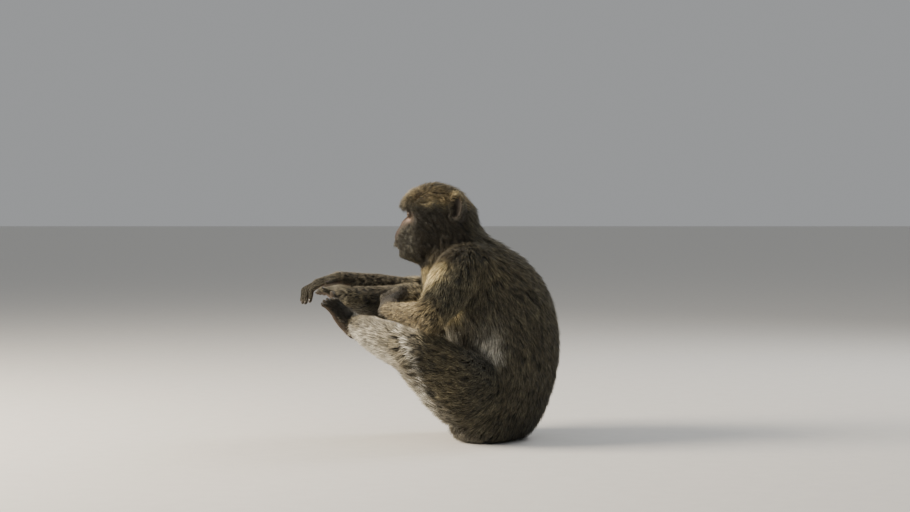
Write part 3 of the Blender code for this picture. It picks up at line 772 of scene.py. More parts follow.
def lie_of_coat(points, guides):
    """Flow, coat depth, hair length and form at each point: means of the guides, weighted by exp(-1.5 d^2),
    where d is the distance in units of the guide's reach."""
    flow, size, form = np.empty((len(points), 3)), np.empty((len(points), 2)), np.empty(len(points), int)
    for start in range(0, len(points), CHUNK):
        part = slice(start, start + CHUNK)
        apart = ((points[part, None] - guides[None, :, :3]) ** 2).sum(axis=2) / guides[:, 3] ** 2
        weight = np.exp(-1.5 * (apart - apart.min(axis=1)[:, None]))
        weight /= weight.sum(axis=1)[:, None]
        flow[part] = weight @ guides[:, 4:7]
        size[part] = weight @ guides[:, 7:9]
        form[part] = guides[apart.argmin(axis=1), 9]
    return flow, size[:, 0], size[:, 1], form


def unwrap(points, form):
    """Where each point lies on its form: share of the path's length, and turn round it from 0 to 1."""
    along, turn = np.zeros(len(points)), np.zeros(len(points))
    for index, name in enumerate(FORM_NAMES):
        own = form == index
        if not own.any():
            continue
        centres, _, _, tangents, sides, fronts = path_frame(*FORMS[name], 8)
        apart = ((points[own][:, None] - centres[None]) ** 2).sum(axis=2)
        near = apart.argmin(axis=1)
        offset = points[own] - centres[near]
        step = np.linalg.norm(np.gradient(centres, axis=0), axis=1)[near]
        slide = np.clip((offset * tangents[near]).sum(axis=1) / step, -0.5, 0.5)
        along[own] = np.clip((near + slide) / (len(centres) - 1), 0, 1)
        angle = np.arctan2((offset * fronts[near]).sum(axis=1), (offset * sides[near]).sum(axis=1))
        turn[own] = angle / (2 * math.pi) + 0.5
    return along, turn


def spots(points, rows):
    """The strongest of several patches, each a bell about its place times its strength."""
    return np.max([bell(points, place, radii) * strength for place, radii, strength in rows], axis=0)


def ear_own(points):
    """Each point in the ear's own axes, from its middle."""
    return (folded(points) - EAR_AT) @ ear_axes(1).T


def bare_places(points, normals):
    """1 where the skin is bare: round the eyes, nose and lips, in the ears, on palms, soles and seat pads."""
    flat, own = folded(points), ear_own(points)
    face = bell(flat, (0.015, -0.048, 0.388), (0.022, 0.018, 0.013)) * 2.6
    face += bell(flat, (0.000, -0.062, 0.362), (0.015, 0.018, 0.024)) * 2.4
    face += bell(flat, (0.008, -0.063, 0.334), (0.014, 0.012, 0.005)) * 1.2
    ear = smooth(own[:, 0], -0.0020, 0.0000) * smooth(own[:, 0], 0.009, 0.006)
    ear *= smooth((own[:, 1] / 0.0115) ** 2 + (own[:, 2] / 0.0185) ** 2, 1.25, 0.80)
    pads = bell(flat, PAD_AT, (0.019, 0.030, 0.014)) * 1.6
    palm = np.zeros(len(points))
    for form in HANDS.values():
        under = smooth(normals @ unit(form["back"]), 0.05, -0.30)
        palm = np.maximum(palm, smooth(from_curve(points, joints_of(form), 4), 0.040, 0.028) * under)
    return np.clip(np.max([face, ear, pads, palm], axis=0), 0, 1)


def calf_line(points):
    """The near calf is pressed against its thigh. How much each point has, by its distance from the line
    between them, of a painted highlight of sunlit hair along that line and of the painted shade behind it."""
    offset = points[None, :, 1:] - curve_through(CALF_LINE, 4)[:, None]
    apart = np.linalg.norm(offset, axis=2)
    edge, nearest = apart.min(axis=0), apart.argmin(axis=0)
    forth, up = offset[nearest, np.arange(len(points))].T
    crease = smooth(edge, 0.020, 0.010) * smooth(edge, 0.003, 0.007) * smooth(forth + 0.4 * up, 0.001, 0.006)
    return smooth(edge, 0.0075, 0.0030), crease


def markings(points, normals):
    """How buff, ashen, golden and dark the coat and skin are at each place, from 0 to 1, with painted light
    and painted shade laid into several of these marks.
    """
    flat = folded(points)
    x, y, z = flat.T
    # The near side, towards the camera. The animal is coloured alike on both sides, so where a mark below
    # differs between near and far, the difference is painted: painted light where a side is paler, painted
    # shade where it is darker.
    left = smooth(points[:, 0], -0.02, 0.02)
    forward, under = -normals[:, 1], -normals[:, 2]
    legs = smooth(y, 0.09, 0.05) * smooth(z, 0.26, 0.23)
    patchy = 0.10 * ripple(points, 0.030, 21) + 0.05 * ripple(points, 0.012, 22)
    apart = [from_curve(points, rows, 4, 4) for rows in (FOREARM_L, FOREARM_R)]
    forearm = smooth(np.min(apart, axis=0), 0.004, -0.002)

    # Buff: the chest, the throat, and patches by the ear and on the cheek. The chest is really pale; its buff
    # on the faces turned forward is raised further as painted sunlight.
    chest = smooth(forward, -0.05, 0.50) * smooth(y, 0.056, 0.026) * between(z, 0.20, 0.245, 0.338, 0.358)
    chest *= (1 - smooth(z, 0.308, 0.318) * smooth(y, 0.004, -0.008)) * (1 - 0.7 * forearm)
    chest = np.clip(1.25 * chest, 0, 1) * smooth(x, 0.145, 0.110) * smooth(y, -0.050, -0.035)
    throat = between(z, 0.25, 0.27, 0.306, 0.320) * between(y, -0.045, -0.034, 0.000, 0.030)
    throat *= smooth(x, 0.100, 0.075)
    pale = np.max([chest, throat, spots(flat, PALE_SPOTS)], axis=0)

    # Ashen: the belly, the undersides of the legs, the shins, the near calf's edge and the flank. Along the
    # near calf's edge the ash is a painted highlight; the near leg's larger share on its undersides is
    # painted sunlight; less ash on faces turned down and behind the calf is painted shade.
    belly = smooth(y, 0.07, 0.02) * smooth(x, 0.075, 0.045) * smooth(z, 0.24, 0.20) * 0.7
    below = smooth(0.80 * forward + 0.60 * under, 0.25, 0.85) * legs * smooth(x, 0.05, 0.09)
    # The near leg's larger share is painted sunlight on its lower edge; the far leg's smaller share is
    # painted shade.
    below *= 0.22 + 0.13 * left
    shins = spots(points, SHIN_PALE_AND_SUNLIT_SPOTS)
    # Less ash on the shins' faces turned down: painted shade.
    shins *= (0.58 + 0.50 * ripple(points, 0.026, 23)) * (1 - 0.60 * smooth(under, 0.10, 0.70))
    calf = left * smooth(x, 0.05, 0.08) * smooth(y, 0.060, 0.030) * (1 - forearm)
    # fold: a painted highlight of sunlit hair along the line where the near calf meets its thigh. crease and
    # shade: painted shade behind that line and under the calf.
    fold, crease = calf_line(points)
    fold, crease = fold * calf * (0.80 + 0.30 * ripple(points, 0.018, 24)), crease * calf
    shade = left * bell(points, (0.140, -0.045, 0.122), (0.060, 0.022, 0.020))
    flank = spots(flat, FLANK_SPOTS)
    muzzle = bell(flat, (0.024, -0.042, 0.340), (0.024, 0.034, 0.034))
    below, shins = below * (1 - forearm), np.clip(shins, 0, 1) * (1 - forearm)
    ash = np.max([belly, below, shins, flank, 0.85 * fold, 0.30 * muzzle], axis=0) * (1 - 0.75 * shade)

    # Golden: the crown, the upper back and the arms; the near arm's extra gold is painted sunlight.
    crown = smooth(z, 0.404, 0.422) * smooth(y, 0.075, 0.035) * (1 - 0.50 * smooth(y, -0.008, -0.034))
    back = smooth(y, 0.03, 0.10) * between(z, 0.24, 0.35, 0.360, 0.395) * 0.20
    arms = between(z, 0.20, 0.22, 0.245, 0.275) * between(y, -0.110, -0.08, -0.01, 0.03)
    # More gold on the near arm and forearm than on the far: painted sunlight.
    arms, sleeves = arms * (0.15 + 0.45 * left), forearm * (0.15 + 0.35 * left)
    gold = np.max([crown, back, arms, sleeves, 0.20 * legs], axis=0)

    # Dark: the brow, hands and feet, darker towards the floor and low on the back, the cheeks, painted shade
    # on the trunk's sides and over the far leg and forearm, and the painted shade behind the calf.
    brow = bell(flat, (0.018, -0.052, 0.403), (0.022, 0.010, 0.0050))
    ends = np.max([
        smooth(from_curve(points, [0.8 * root + 0.2 * ball, ball, bend, tip], 3), 0.034, 0.018)
        for root, ball, bend, tip in map(joints_of, HANDS.values())
    ], axis=0)
    low = smooth(z, 0.10, 0.02) * 0.35 + smooth(y, 0.10, 0.20) * smooth(z, 0.30, 0.12) * 0.40
    # Painted shade on the trunk's faces turned to either side, on the back half below the shoulders.
    side = smooth(normals[:, 0] ** 2, 0.2, 0.7) * smooth(y, 0.05, 0.09) * smooth(z, 0.31, 0.27) * 0.25
    # The cheeks and side of the head: darker fur, deepened as painted shade.
    cheek = between(z, 0.300, 0.325, 0.396, 0.412) * between(y, -0.050, -0.026, 0.040, 0.065) * 0.95
    # Painted shade over the far leg and forearm, fading out at the far hand.
    far = smooth(points[:, 0], -0.02, -0.04) * between(y, -0.195, -0.160, -0.060, -0.020) * 0.75
    # Hands and feet are really dark; their extra dark on the near side is painted shade, and so is 0.55 of
    # the calf crease.
    dark = np.max([
        brow, ends * (0.45 + 0.45 * left), low, spots(flat, DARK_SPOTS), side, cheek, far, 0.55 * crease,
        0.35 * muzzle,
    ], axis=0) * (1 - np.clip(flank, 0, 1))
    dark = np.maximum(dark, 0.65 * shade)
    found = {"pale": pale, "ash": ash, "gold": gold, "dark": dark}
    return {key: np.clip(share + patchy * smooth(share, 0.0, 0.3), 0, 1) for key, share in found.items()}


def face_colours(points):
    """How much of each bare face colour a place has: dark skin round the eyes, deepened as painted shade
    under the brow, painted shade in the nostrils, the pale lower lid, rosy lips, a painted shadow in a line
    down beside the nose, and the dark ear."""
    flat, own = folded(points), ear_own(points)
    x, y, z = flat.T
    found = {
        key: sum(strength * bell(flat, place, radii) for place, radii, strength in rows)
        for key, rows in FACE_SPOTS.items()
    }
    # A painted shadow in a thin line down beside the nose, added to the dark eye skin.
    line = np.exp(-(((x - 0.0105 + 0.10 * (z - 0.365)) / 0.0022) ** 2))
    line *= between(z, 0.346, 0.352, 0.384, 0.390) * smooth(y, -0.036, -0.044)
    found["socket"] += 0.85 * line
    found["ear"] = smooth(np.linalg.norm(own / [0.02, 0.017, 0.024], axis=1), 1.20, 0.95)
    return {key: np.clip(share, 0, 1) for key, share in found.items()}


def set_attribute(mesh, name, values):
    """A number stored at each point."""
    made = mesh.attributes.new(name, "FLOAT", "POINT")
    made.data.foreach_set("value", np.asarray(values, np.float32).ravel())


def nearest_on(skin, points):
    """The nearest place on the skin to each point, and the outward direction there."""
    probe, found = add_object("probe", build_mesh("probe", points)), []
    wrap = probe.modifiers.new("Wrap", "SHRINKWRAP")
    wrap.target, wrap.wrap_method, wrap.wrap_mode = skin, "NEAREST_SURFACEPOINT", "ABOVE_SURFACE"
    for offset in (0.0, 0.002):
        wrap.offset = offset
        bpy.context.view_layer.update()
        found.append(points_of(probe.evaluated_get(bpy.context.evaluated_depsgraph_get()).data))
    bpy.data.meshes.remove(probe.data)
    return found[0], unit(found[1] - found[0])


ROOT_CUBE = 0.006  # of skin, whose faces are taken together


def scatter_roots(skin, guides):
    """Places and directions of the tufts' roots. Faces are put in the order of their 6 mm cube, and roots are
    dropped at equal steps of the running sum of area times how densely hair stands there."""
    mesh = skin.data
    mesh.calc_loop_triangles()
    corners = np.empty(len(mesh.loop_triangles) * 3, np.int32)
    mesh.loop_triangles.foreach_get("vertices", corners)
    points, normals = points_of(mesh) - SHIFT, normals_of(mesh)
    corners = corners.reshape(-1, 3)
    a, b, c = points[corners[:, 0]], points[corners[:, 1]], points[corners[:, 2]]
    middles, facing = (a + b + c) / 3, unit(np.cross(b - a, c - a))
    area = 0.5 * np.linalg.norm(np.cross(b - a, c - a), axis=1)
    _, _, length, form = lie_of_coat(middles, guides)
    dense = layers(length) / (tuft_width(length, form) * length * 0.5)
    dense *= 1 - bare_places(middles, facing)
    order = np.lexsort(tuple(np.floor(middles / ROOT_CUBE).astype(int).T))
    total = np.cumsum((area * dense)[order])
    count = int(total[-1])
    steps = (np.arange(count) + RANDOM.uniform(0, 1, count)) * total[-1] / count
    chosen = order[np.searchsorted(total, np.minimum(steps, total[-1] * (1 - 1e-9)))]
    first, second = RANDOM.uniform(0, 1, (2, count))
    over = first + second > 1
    first, second = np.where(over, 1 - first, first), np.where(over, 1 - second, second)
    shares = np.stack([1 - first - second, first, second])[..., None]
    at = lambda values: sum(values[corner] * share for corner, share in zip(corners[chosen].T, shares))
    return at(points), unit(at(normals))


def tuft_width(length, form):
    """Long tufts are broader: 0.42 mm at 4 mm of hair, 1.05 mm at 28 mm. Head, hands and feet have less."""
    head = FORM_NAMES.index("head")
    fine = np.where(form == head, 0.65, np.where(form > head, 0.85, 1.0))
    return (0.00042 + 0.00063 * smooth(length, 0.004, 0.028)) * fine


def layers(length):
    """How many tufts lie over each place."""
    return 2.4 + 4.2 * smooth(length, 0.005, 0.022)


STEPS = np.array([0.0, 0.42, 1.0])  # of a tuft's length: its root, its broadest place and its tip
LOCK_STEP = 0.0015  # a lock is a whole number of these across
ROOT_DEPTH = 0.0008  # of a tuft's root under the skin


def grow_tufts(roots, normals, flow, depth, length, skin):
    """The middle lines of the tufts, one row of points each. A line leaves along its flow, turned a little at
    random, or much where the coat parts, and drawn towards the tip of its lock. It is laid on the skin, and
    rises as the 0.75 power of its share of length to its own part of the coat's depth. Where the skin falls
    away it follows only partly."""
    count = len(roots)
    level = np.round(np.clip(0.30 * length, 0.0025, 0.009) / LOCK_STEP)[:, None]
    warp = np.stack([ripple(roots, 0.018, seed) for seed in (31, 32, 33)], axis=1) * 0.35
    cells = np.hstack([np.floor(roots / (level * LOCK_STEP) + warp), level]).astype(int)
    _, lock = np.unique(cells, axis=0, return_inverse=True)
    lock = lock.ravel()
    per_lock = RANDOM.uniform(0, 1, (lock.max() + 1, 3))
    across = np.cross(normals, flow)
    way = flow - (flow * normals).sum(axis=1)[:, None] * normals
    parted = smooth(np.linalg.norm(way, axis=1), 0.60, 0.10)
    yaw = (0.20 + 1.2 * parted) * RANDOM.normal(size=count) + 0.50 * (per_lock[lock, 0] - 0.5)
    yaw = (yaw + 0.22 * ripple(roots, 0.022, 41))[:, None]
    way = unit(unit(way) * np.cos(yaw) + unit(across) * np.sin(yaw))
    reach = length * RANDOM.uniform(0.72, 1.12, count)
    reach *= (0.88 + 0.24 * per_lock[lock, 1]) * (1 - 0.35 * parted)
    tips = roots + way * reach[:, None]
    middle = np.stack([np.bincount(lock, tips[:, k]) for k in range(3)], axis=1) / np.bincount(lock)[:, None]
    inward = middle[lock] - tips
    most = 0.5 * reach / np.maximum(np.linalg.norm(inward, axis=1), 1e-9)
    tips += inward * np.minimum(RANDOM.uniform(0.25, 0.65, count), most)[:, None]
    share = RANDOM.uniform(0.30, 1.0, count) * (0.72 + 0.28 * per_lock[lock, 2])
    free = roots[:, None] + (tips - roots)[:, None] * STEPS[None, 1:, None]
    rise = (depth * share)[:, None] * STEPS[1:] ** 0.75
    free += normals[:, None] * rise[..., None]
    laid, facing = nearest_on(skin, free.reshape(-1, 3) + SHIFT)
    laid, facing = (laid - SHIFT).reshape(free.shape), facing.reshape(free.shape)
    apart = ((free - laid) * facing).sum(axis=2)
    height = rise + 0.35 * np.clip(apart - rise, 0.0, 0.012)
    sunk = roots - ROOT_DEPTH * normals
    spines = np.concatenate([sunk[:, None], laid + facing * height[..., None]], axis=1)
    return spines, facing[:, 0], lock, per_lock


TUFT_POINTS = 5  # the root, the left and right edges, the ridge and the tip


def tuft_mesh(name, spines, facing, width, parts):
    """Tapering three-sided tufts, each pointed at its root and at its tip. At its broadest place the left and
    right edges lie along the skin and the ridge stands off it by 0.4 of the width."""
    count = len(spines)
    way = unit(spines[:, 2] - spines[:, 0])
    sides = unit(np.cross(facing, way))
    roll = RANDOM.normal(0, 0.35, count)[:, None]
    ups = unit(np.cross(way, sides))
    sides, ups = sides * np.cos(roll) + ups * np.sin(roll), ups * np.cos(roll) - sides * np.sin(roll)
    half, middle = 0.5 * width[:, None], spines[:, 1]
    points = np.stack([
        spines[:, 0], middle - sides * half, middle + sides * half, middle + ups * half * 0.8, spines[:, 2],
    ], axis=1)
    tuft = np.array([[0, 2, 1], [0, 3, 2], [0, 1, 3], [1, 2, 4], [2, 3, 4], [3, 1, 4]])
    faces = tuft + (np.arange(count) * TUFT_POINTS)[:, None, None]
    mesh = build_mesh(name, points.reshape(-1, 3) + SHIFT, None, faces.reshape(-1, 3))
    mesh.shade_smooth()
    ring, lateral = STEPS[[0, 1, 1, 1, 2]], np.array([0.0, -1.0, 1.0, 0.0, 0.0])
    set_attribute(mesh, "along", np.tile(ring, count))
    set_attribute(mesh, "beside", np.tile(lateral, count))
    for key, values in parts.items():
        if key != "place":
            set_attribute(mesh, key, np.repeat(values, TUFT_POINTS))
    across, along = parts["place"].T[..., None]
    patch = np.stack([across + 0.0013 * lateral, along + 0.0026 * (ring - 0.5)], axis=2)
    layer, corner = mesh.uv_layers.new(name="OFBake"), np.empty(len(mesh.loops), np.int32)
    mesh.loops.foreach_get("vertex_index", corner)
    layer.data.foreach_set("uv", patch.reshape(-1, 2)[corner].astype(np.float32).ravel())
    return mesh


FLOOR_GAP = 0.0010  # between the floor and the lowest tufts


def make_coat(skin):
    """Every piece of the coat, by name."""
    guides = coat_guides()
    roots, normals = scatter_roots(skin, guides)
    flow, depth, length, form = lie_of_coat(roots, guides)
    along, turn = unwrap(roots, form)
    found = {}
    for name, (forms, start, end) in PIECES.items():
        index = [FORM_NAMES.index(each) for each in forms]
        own = np.isin(form, index) & (along >= start) & (along < end)
        at, facing_out = roots[own], normals[own]
        spines, facing, lock, per_lock = grow_tufts(at, facing_out, flow[own], depth[own], length[own], skin)
        # Tufts that would enter the floor spread out over it.
        below = np.maximum(FLOOR_GAP - spines[..., 2:], 0.0)
        spines[..., :2] += 1.10 * below * facing[:, None, :2]
        spines[..., 2:] += below * (1.0 + 0.25 * RANDOM.uniform(0, 1, below.shape))
        spines = within_box(spines + SHIFT, COAT_INSIDE) - SHIFT
        width = tuft_width(length[own], form[own]) * RANDOM.uniform(0.75, 1.25, len(at))
        order = np.argsort(index)
        band = order[np.searchsorted(index, form[own], sorter=order)]
        across = (band + 0.02 + 0.96 * turn[own]) / len(index)
        up = 0.01 + 0.98 * (along[own] - start) / (min(end, 1.0) - start)
        place = np.stack([across, up], axis=1)
        parts = {"rand": RANDOM.uniform(0, 1, len(at)), "lock": per_lock[lock, 1], "place": place}
        parts.update(markings(at, facing_out))
        found[name] = add_object(name, tuft_mesh(name, spines, facing, width, parts))
    return found


# ---------------------------------------------------------------- eyes and nails
def make_eye(name, side):
    """An eyeball as rings by angle from the gaze. Over the cornea its radius is raised by 1 mm times one less
    the square of the angle's share of the cornea's half angle."""
    angles = np.concatenate([np.linspace(2, 60, 30), np.linspace(66, 172, 14)])
    turns = np.linspace(0, 2 * math.pi, 40, endpoint=False)
    gaze = unit(mirrored(GAZE, side))
    across = unit(np.cross(gaze, [0, 0, 1.0]))
    up = np.cross(across, gaze)
    radius = EYE_RADIUS - BALL_GAP + CORNEA_RISE * np.clip(1 - (angles / CORNEA_HALF) ** 2, 0, 1)
    polar = np.radians(angles)[:, None, None]
    round_it = np.cos(turns)[None, :, None] * across + np.sin(turns)[None, :, None] * up
    ways = np.cos(polar) * gaze + np.sin(polar) * round_it
    mesh = build_mesh(name, *closed_loft(mirrored(EYE_AT, side) + SHIFT + radius[:, None, None] * ways))
    set_attribute(mesh, "radial", np.concatenate([np.repeat(angles, len(turns)), [0.0, 180.0]]) / 90.0)
    set_attribute(mesh, "turn", np.concatenate([np.tile(turns, len(angles)), [0.0, 0.0]]))
    mesh.shade_smooth()
    return outward(add_object(name, mesh))


NAIL_THICK, NAIL_ARC = 0.0005, 64  # metres, and degrees either way


def make_nails(name):
    """A curved plate on the back of each digit's end: an arc of 64 degrees either way about the digit's
    middle line, which runs from behind the tip to just past it and tips down at its free edge."""
    points, quads = [], []
    wide, deep = 9, 7
    turns = np.radians(np.linspace(-NAIL_ARC, NAIL_ARC, wide))
    arc, run = np.meshgrid(turns, np.linspace(0, 1, deep), indexing="ij")
    i, j = np.meshgrid(np.arange(wide - 1), np.arange(deep - 1), indexing="ij")
    corner = (i * deep + j)[..., None]
    cell = (corner + [0, deep, deep + 1, 1]).reshape(-1, 4)
    for form in HANDS.values():
        for rows in digits_of(form):
            last, end, r = np.array(rows[-2][:3]), np.array(rows[-1][:3]), rows[-1][3]
            way = unit(end - last)
            up = unit(np.array(form["back"]) - np.dot(form["back"], way) * way)
            side = np.cross(up, way)
            shell = r * (1.10 - 0.18 * run**2 - 0.10 * (1 - run) ** 2)
            forth = ((run * 1.65 - 0.80) * r)[..., None]
            over = (np.sin(arc) * shell * (0.92 - 0.12 * run**3))[..., None]
            place = end + way * forth + side * over + up * (np.cos(arc) * shell - 0.10 * r)[..., None]
            quads.append(cell + wide * deep * len(points))
            points.append(place.reshape(-1, 3))
    places = within_box(np.vstack(points) + SHIFT, NAILS_INSIDE)
    made = add_object(name, build_mesh(name, places, np.vstack(quads)))
    wall = made.modifiers.new("Wall", "SOLIDIFY")
    wall.thickness, wall.offset = NAIL_THICK, 0.0
    apply_modifiers(made)
    made.data.shade_smooth()
    return outward(made)


# ---------------------------------------------------------------- materials
def linear(code):
    """A hex sRGB colour as linear red, green, blue and alpha."""
    value = np.array([int(code[k : k + 2], 16) for k in (1, 3, 5)]) / 255
    return (*np.where(value <= 0.04045, value / 12.92, ((value + 0.055) / 1.055) ** 2.4), 1.0)


def add_node(tree, kind, settings=(), **links):
    """One shader node, giving its first output, or the one named by "out". The other settings are its own
    properties, and "stops" are the places and colours of a ramp. Each link is a value, or another node's
    output, for the input of that name, or of that number where it is written as in_6."""
    made, settings = tree.nodes.new("ShaderNode" + kind), dict(settings)
    out = settings.pop("out", 0)
    for k, (place, colour) in enumerate(settings.pop("stops", ())):
        stop = made.color_ramp.elements[k] if k < 2 else made.color_ramp.elements.new(place)
        stop.position, stop.color = place, linear(colour)
    for key, value in settings.items():
        setattr(made, key, value)
    for key, value in links.items():
        target = made.inputs[int(key[3:]) if key.startswith("in_") else key.replace("_", " ")]
        if isinstance(value, bpy.types.NodeSocket):
            tree.links.new(value, target)
        else:
            target.default_value = value
    return made.outputs[out] if out is not None else made


def new_material(name):
    """An empty material and its node tree."""
    made = bpy.data.materials.new(name)
    made.use_nodes = True
    made.node_tree.nodes.clear()
    return made, made.node_tree


ADD, TIMES, TIMES_ADD = (
    {"operation": name, "use_clamp": False} for name in ("ADD", "MULTIPLY", "MULTIPLY_ADD")
)
ADD_TO_1, TIMES_TO_1 = {**ADD, "use_clamp": True}, {**TIMES, "use_clamp": True}  # the result kept from 0 to 1
BLEND = {"data_type": "RGBA", "blend_type": "MIX", "out": 2}


def fur_material():
    """Guard hair of a macaque: keratin, matt at a distance with a soft sheen where locks turn to the light.
    Each hair is grey-brown at the root, buff along it and darker at the tip: a grizzled olive coat. The dark
    roots also stand for the shade deep in the coat: painted shade."""
    made, tree = new_material("macaque guard hair")
    along, beside, rand, lock = (
        add_node(tree, "Attribute", {"attribute_name": key, "out": "Fac"})
        for key in ("along", "beside", "rand", "lock")
    )
    slide = add_node(tree, "Math", TIMES_ADD, in_0=rand, in_1=0.36, in_2=-0.18)
    where = add_node(tree, "Math", ADD, in_0=along, in_1=slide)
    ragged = add_node(tree, "Math", TIMES_ADD, in_0=rand, in_1=0.5, in_2=-0.25)
    olive = ((0.0, "#171614"), (0.35, "#2f2e27"), (0.70, "#4e4c3f"), (0.86, "#7b755e"), (1.0, "#4a473b"))
    colour = add_node(tree, "ValToRGB", {"stops": olive}, Fac=where)
    gold = ((0.0, "#28231a"), (0.35, "#524834"), (0.72, "#857655"), (0.90, "#b9a67a"), (1.0, "#73674b"))
    for key, stops in (
        ("gold", gold),
        ("ash", ((0.0, "#55534b"), (0.35, "#8b887b"), (0.75, "#d2cfc2"), (1.0, "#f2f0e8"))),
        ("pale", ((0.0, "#75684d"), (0.35, "#b8a577"), (0.75, "#eddaa4"), (1.0, "#fbf0c9"))),
        ("dark", ((0.0, "#161411"), (0.5, "#2d2a23"), (1.0, "#4b4538"))),
    ):
        weight = add_node(tree, "Attribute", {"attribute_name": key, "out": "Fac"})
        edge = add_node(tree, "Math", TIMES_TO_1, in_0=weight, in_1=1.2)
        edge = add_node(tree, "Math", TIMES, in_0=ragged, in_1=edge)
        tone = add_node(tree, "ValToRGB", {"stops": stops}, Fac=where)
        share = add_node(tree, "Math", ADD_TO_1, in_0=weight, in_1=edge)
        colour = add_node(tree, "Mix", BLEND, in_0=share, in_6=colour, in_7=tone)
    place = add_node(tree, "TexCoord", {"out": "Object"})
    spot = add_node(tree, "TexNoise", {"out": "Fac"}, Vector=place, Scale=45.0, Detail=3.0)
    sideways = add_node(tree, "Math", TIMES, in_0=beside, in_1=1.6)
    sideways = add_node(tree, "Math", TIMES_ADD, in_0=rand, in_1=40.0, in_2=sideways)
    lengthways = add_node(tree, "Math", TIMES, in_0=along, in_1=0.7)
    apart = add_node(tree, "Math", TIMES, in_0=lock, in_1=20.0)
    thread = add_node(tree, "CombineXYZ", X=sideways, Y=lengthways, Z=apart)
    strand = add_node(tree, "TexNoise", {"out": "Fac"}, Vector=thread, Scale=1.6, Detail=2.0)
    light = 1.0
    gains = ((rand, 1.00, 0.50), (lock, 0.42, 0.79), (spot, 0.70, 0.65), (strand, 1.10, 0.45))
    for value, gain, base in gains:
        factor = add_node(tree, "Math", TIMES_ADD, in_0=value, in_1=gain, in_2=base)
        light = add_node(tree, "Math", TIMES, in_0=light, in_1=factor)
    grey = add_node(tree, "CombineColor", Red=light, Green=light, Blue=light)
    colour = add_node(tree, "Mix", {**BLEND, "blend_type": "MULTIPLY"}, in_0=1.0, in_6=colour, in_7=grey)
    bump = add_node(tree, "Bump", Height=strand, Strength=0.5, Distance=0.0003)
    shader = add_node(
        tree, "BsdfPrincipled", Base_Color=colour, Normal=bump, Roughness=0.55, Specular_IOR_Level=0.28,
        IOR=1.55, Sheen_Weight=0.10, Sheen_Roughness=0.45)
    add_node(tree, "OutputMaterial", {"out": None}, Surface=shader)
    return made


def skin_material():
    """Bare skin and the skin under the coat: soft, slightly moist hide, matt with fine creases that make
    small cells about 1.2 mm across, blotched by the blood under it. The crease lines are darkened as painted
    shade. Under hair its dark tone only shades the gaps, as painted shade."""
    made, tree = new_material("macaque skin")
    place = add_node(tree, "TexCoord", {"out": "Object"})
    blotch = add_node(tree, "TexNoise", {"out": "Fac"}, Vector=place, Scale=160.0, Detail=4.0, Roughness=0.6)
    broad = add_node(tree, "TexNoise", {"out": "Fac"}, Vector=place, Scale=50.0, Detail=2.0)
    edges = {"feature": "DISTANCE_TO_EDGE", "out": "Distance"}
    cells = add_node(tree, "TexVoronoi", edges, Vector=place, Scale=850.0)
    ends = add_node(tree, "ValToRGB", {"stops": ((0.30, "#332c26"), (0.70, "#52473c"))}, Fac=broad)
    flush = ((0.30, "#37312c"), (0.52, "#4b433b"), (0.72, "#62574d"))
    under, face = linear("#37322a"), add_node(tree, "ValToRGB", {"stops": flush}, Fac=blotch)
    for key, gain, tone in (
        ("pale", 1.0, linear("#857658")), ("ash", 1.0, linear("#77715f")), ("gold", 0.8, linear("#4e3f28")),
        # Below, the dark skin round the eyes also carries the painted shade in the nostrils and beside the
        # nose.
        ("rosy", 0.8, linear("#8f6d60")), ("lid", 1.0, linear("#dcbcab")), ("socket", 1.0, linear("#31272a")),
        ("dark", 2.2, ends), ("ear", 0.95, linear("#1d1a17")),
    ):
        weight = add_node(tree, "Attribute", {"attribute_name": key, "out": "Fac"})
        share = add_node(tree, "Math", TIMES_TO_1, in_1=gain, in_0=weight)
        if key in ("pale", "ash", "gold"):
            under = add_node(tree, "Mix", BLEND, in_0=share, in_6=under, in_7=tone)
        else:
            face = add_node(tree, "Mix", BLEND, in_0=share, in_6=face, in_7=tone)
    bare = add_node(tree, "Attribute", {"attribute_name": "bare", "out": "Fac"})
    colour = add_node(tree, "Mix", BLEND, in_0=bare, in_6=under, in_7=face)
    pits = add_node(tree, "Math", TIMES_TO_1, in_0=cells, in_1=3.0)
    # Painted shade along the crease lines between the cells.
    shade = add_node(tree, "Math", TIMES_ADD, in_0=pits, in_1=-0.22, in_2=0.22)
    colour = add_node(tree, "Mix", BLEND, in_0=shade, in_6=colour, in_7=linear("#241c18"))
    height = add_node(tree, "Math", ADD, in_0=pits, in_1=blotch)
    bump = add_node(tree, "Bump", Height=height, Strength=0.35, Distance=0.0004)
    shader = add_node(
        tree, "BsdfPrincipled", Base_Color=colour, Normal=bump, Roughness=0.62, Specular_IOR_Level=0.2,
        IOR=1.4, Subsurface_Weight=0.06, Subsurface_Radius=(0.0036, 0.0014, 0.0008), Subsurface_Scale=1.0)
    add_node(tree, "OutputMaterial", {"out": None}, Surface=shader)
    return made


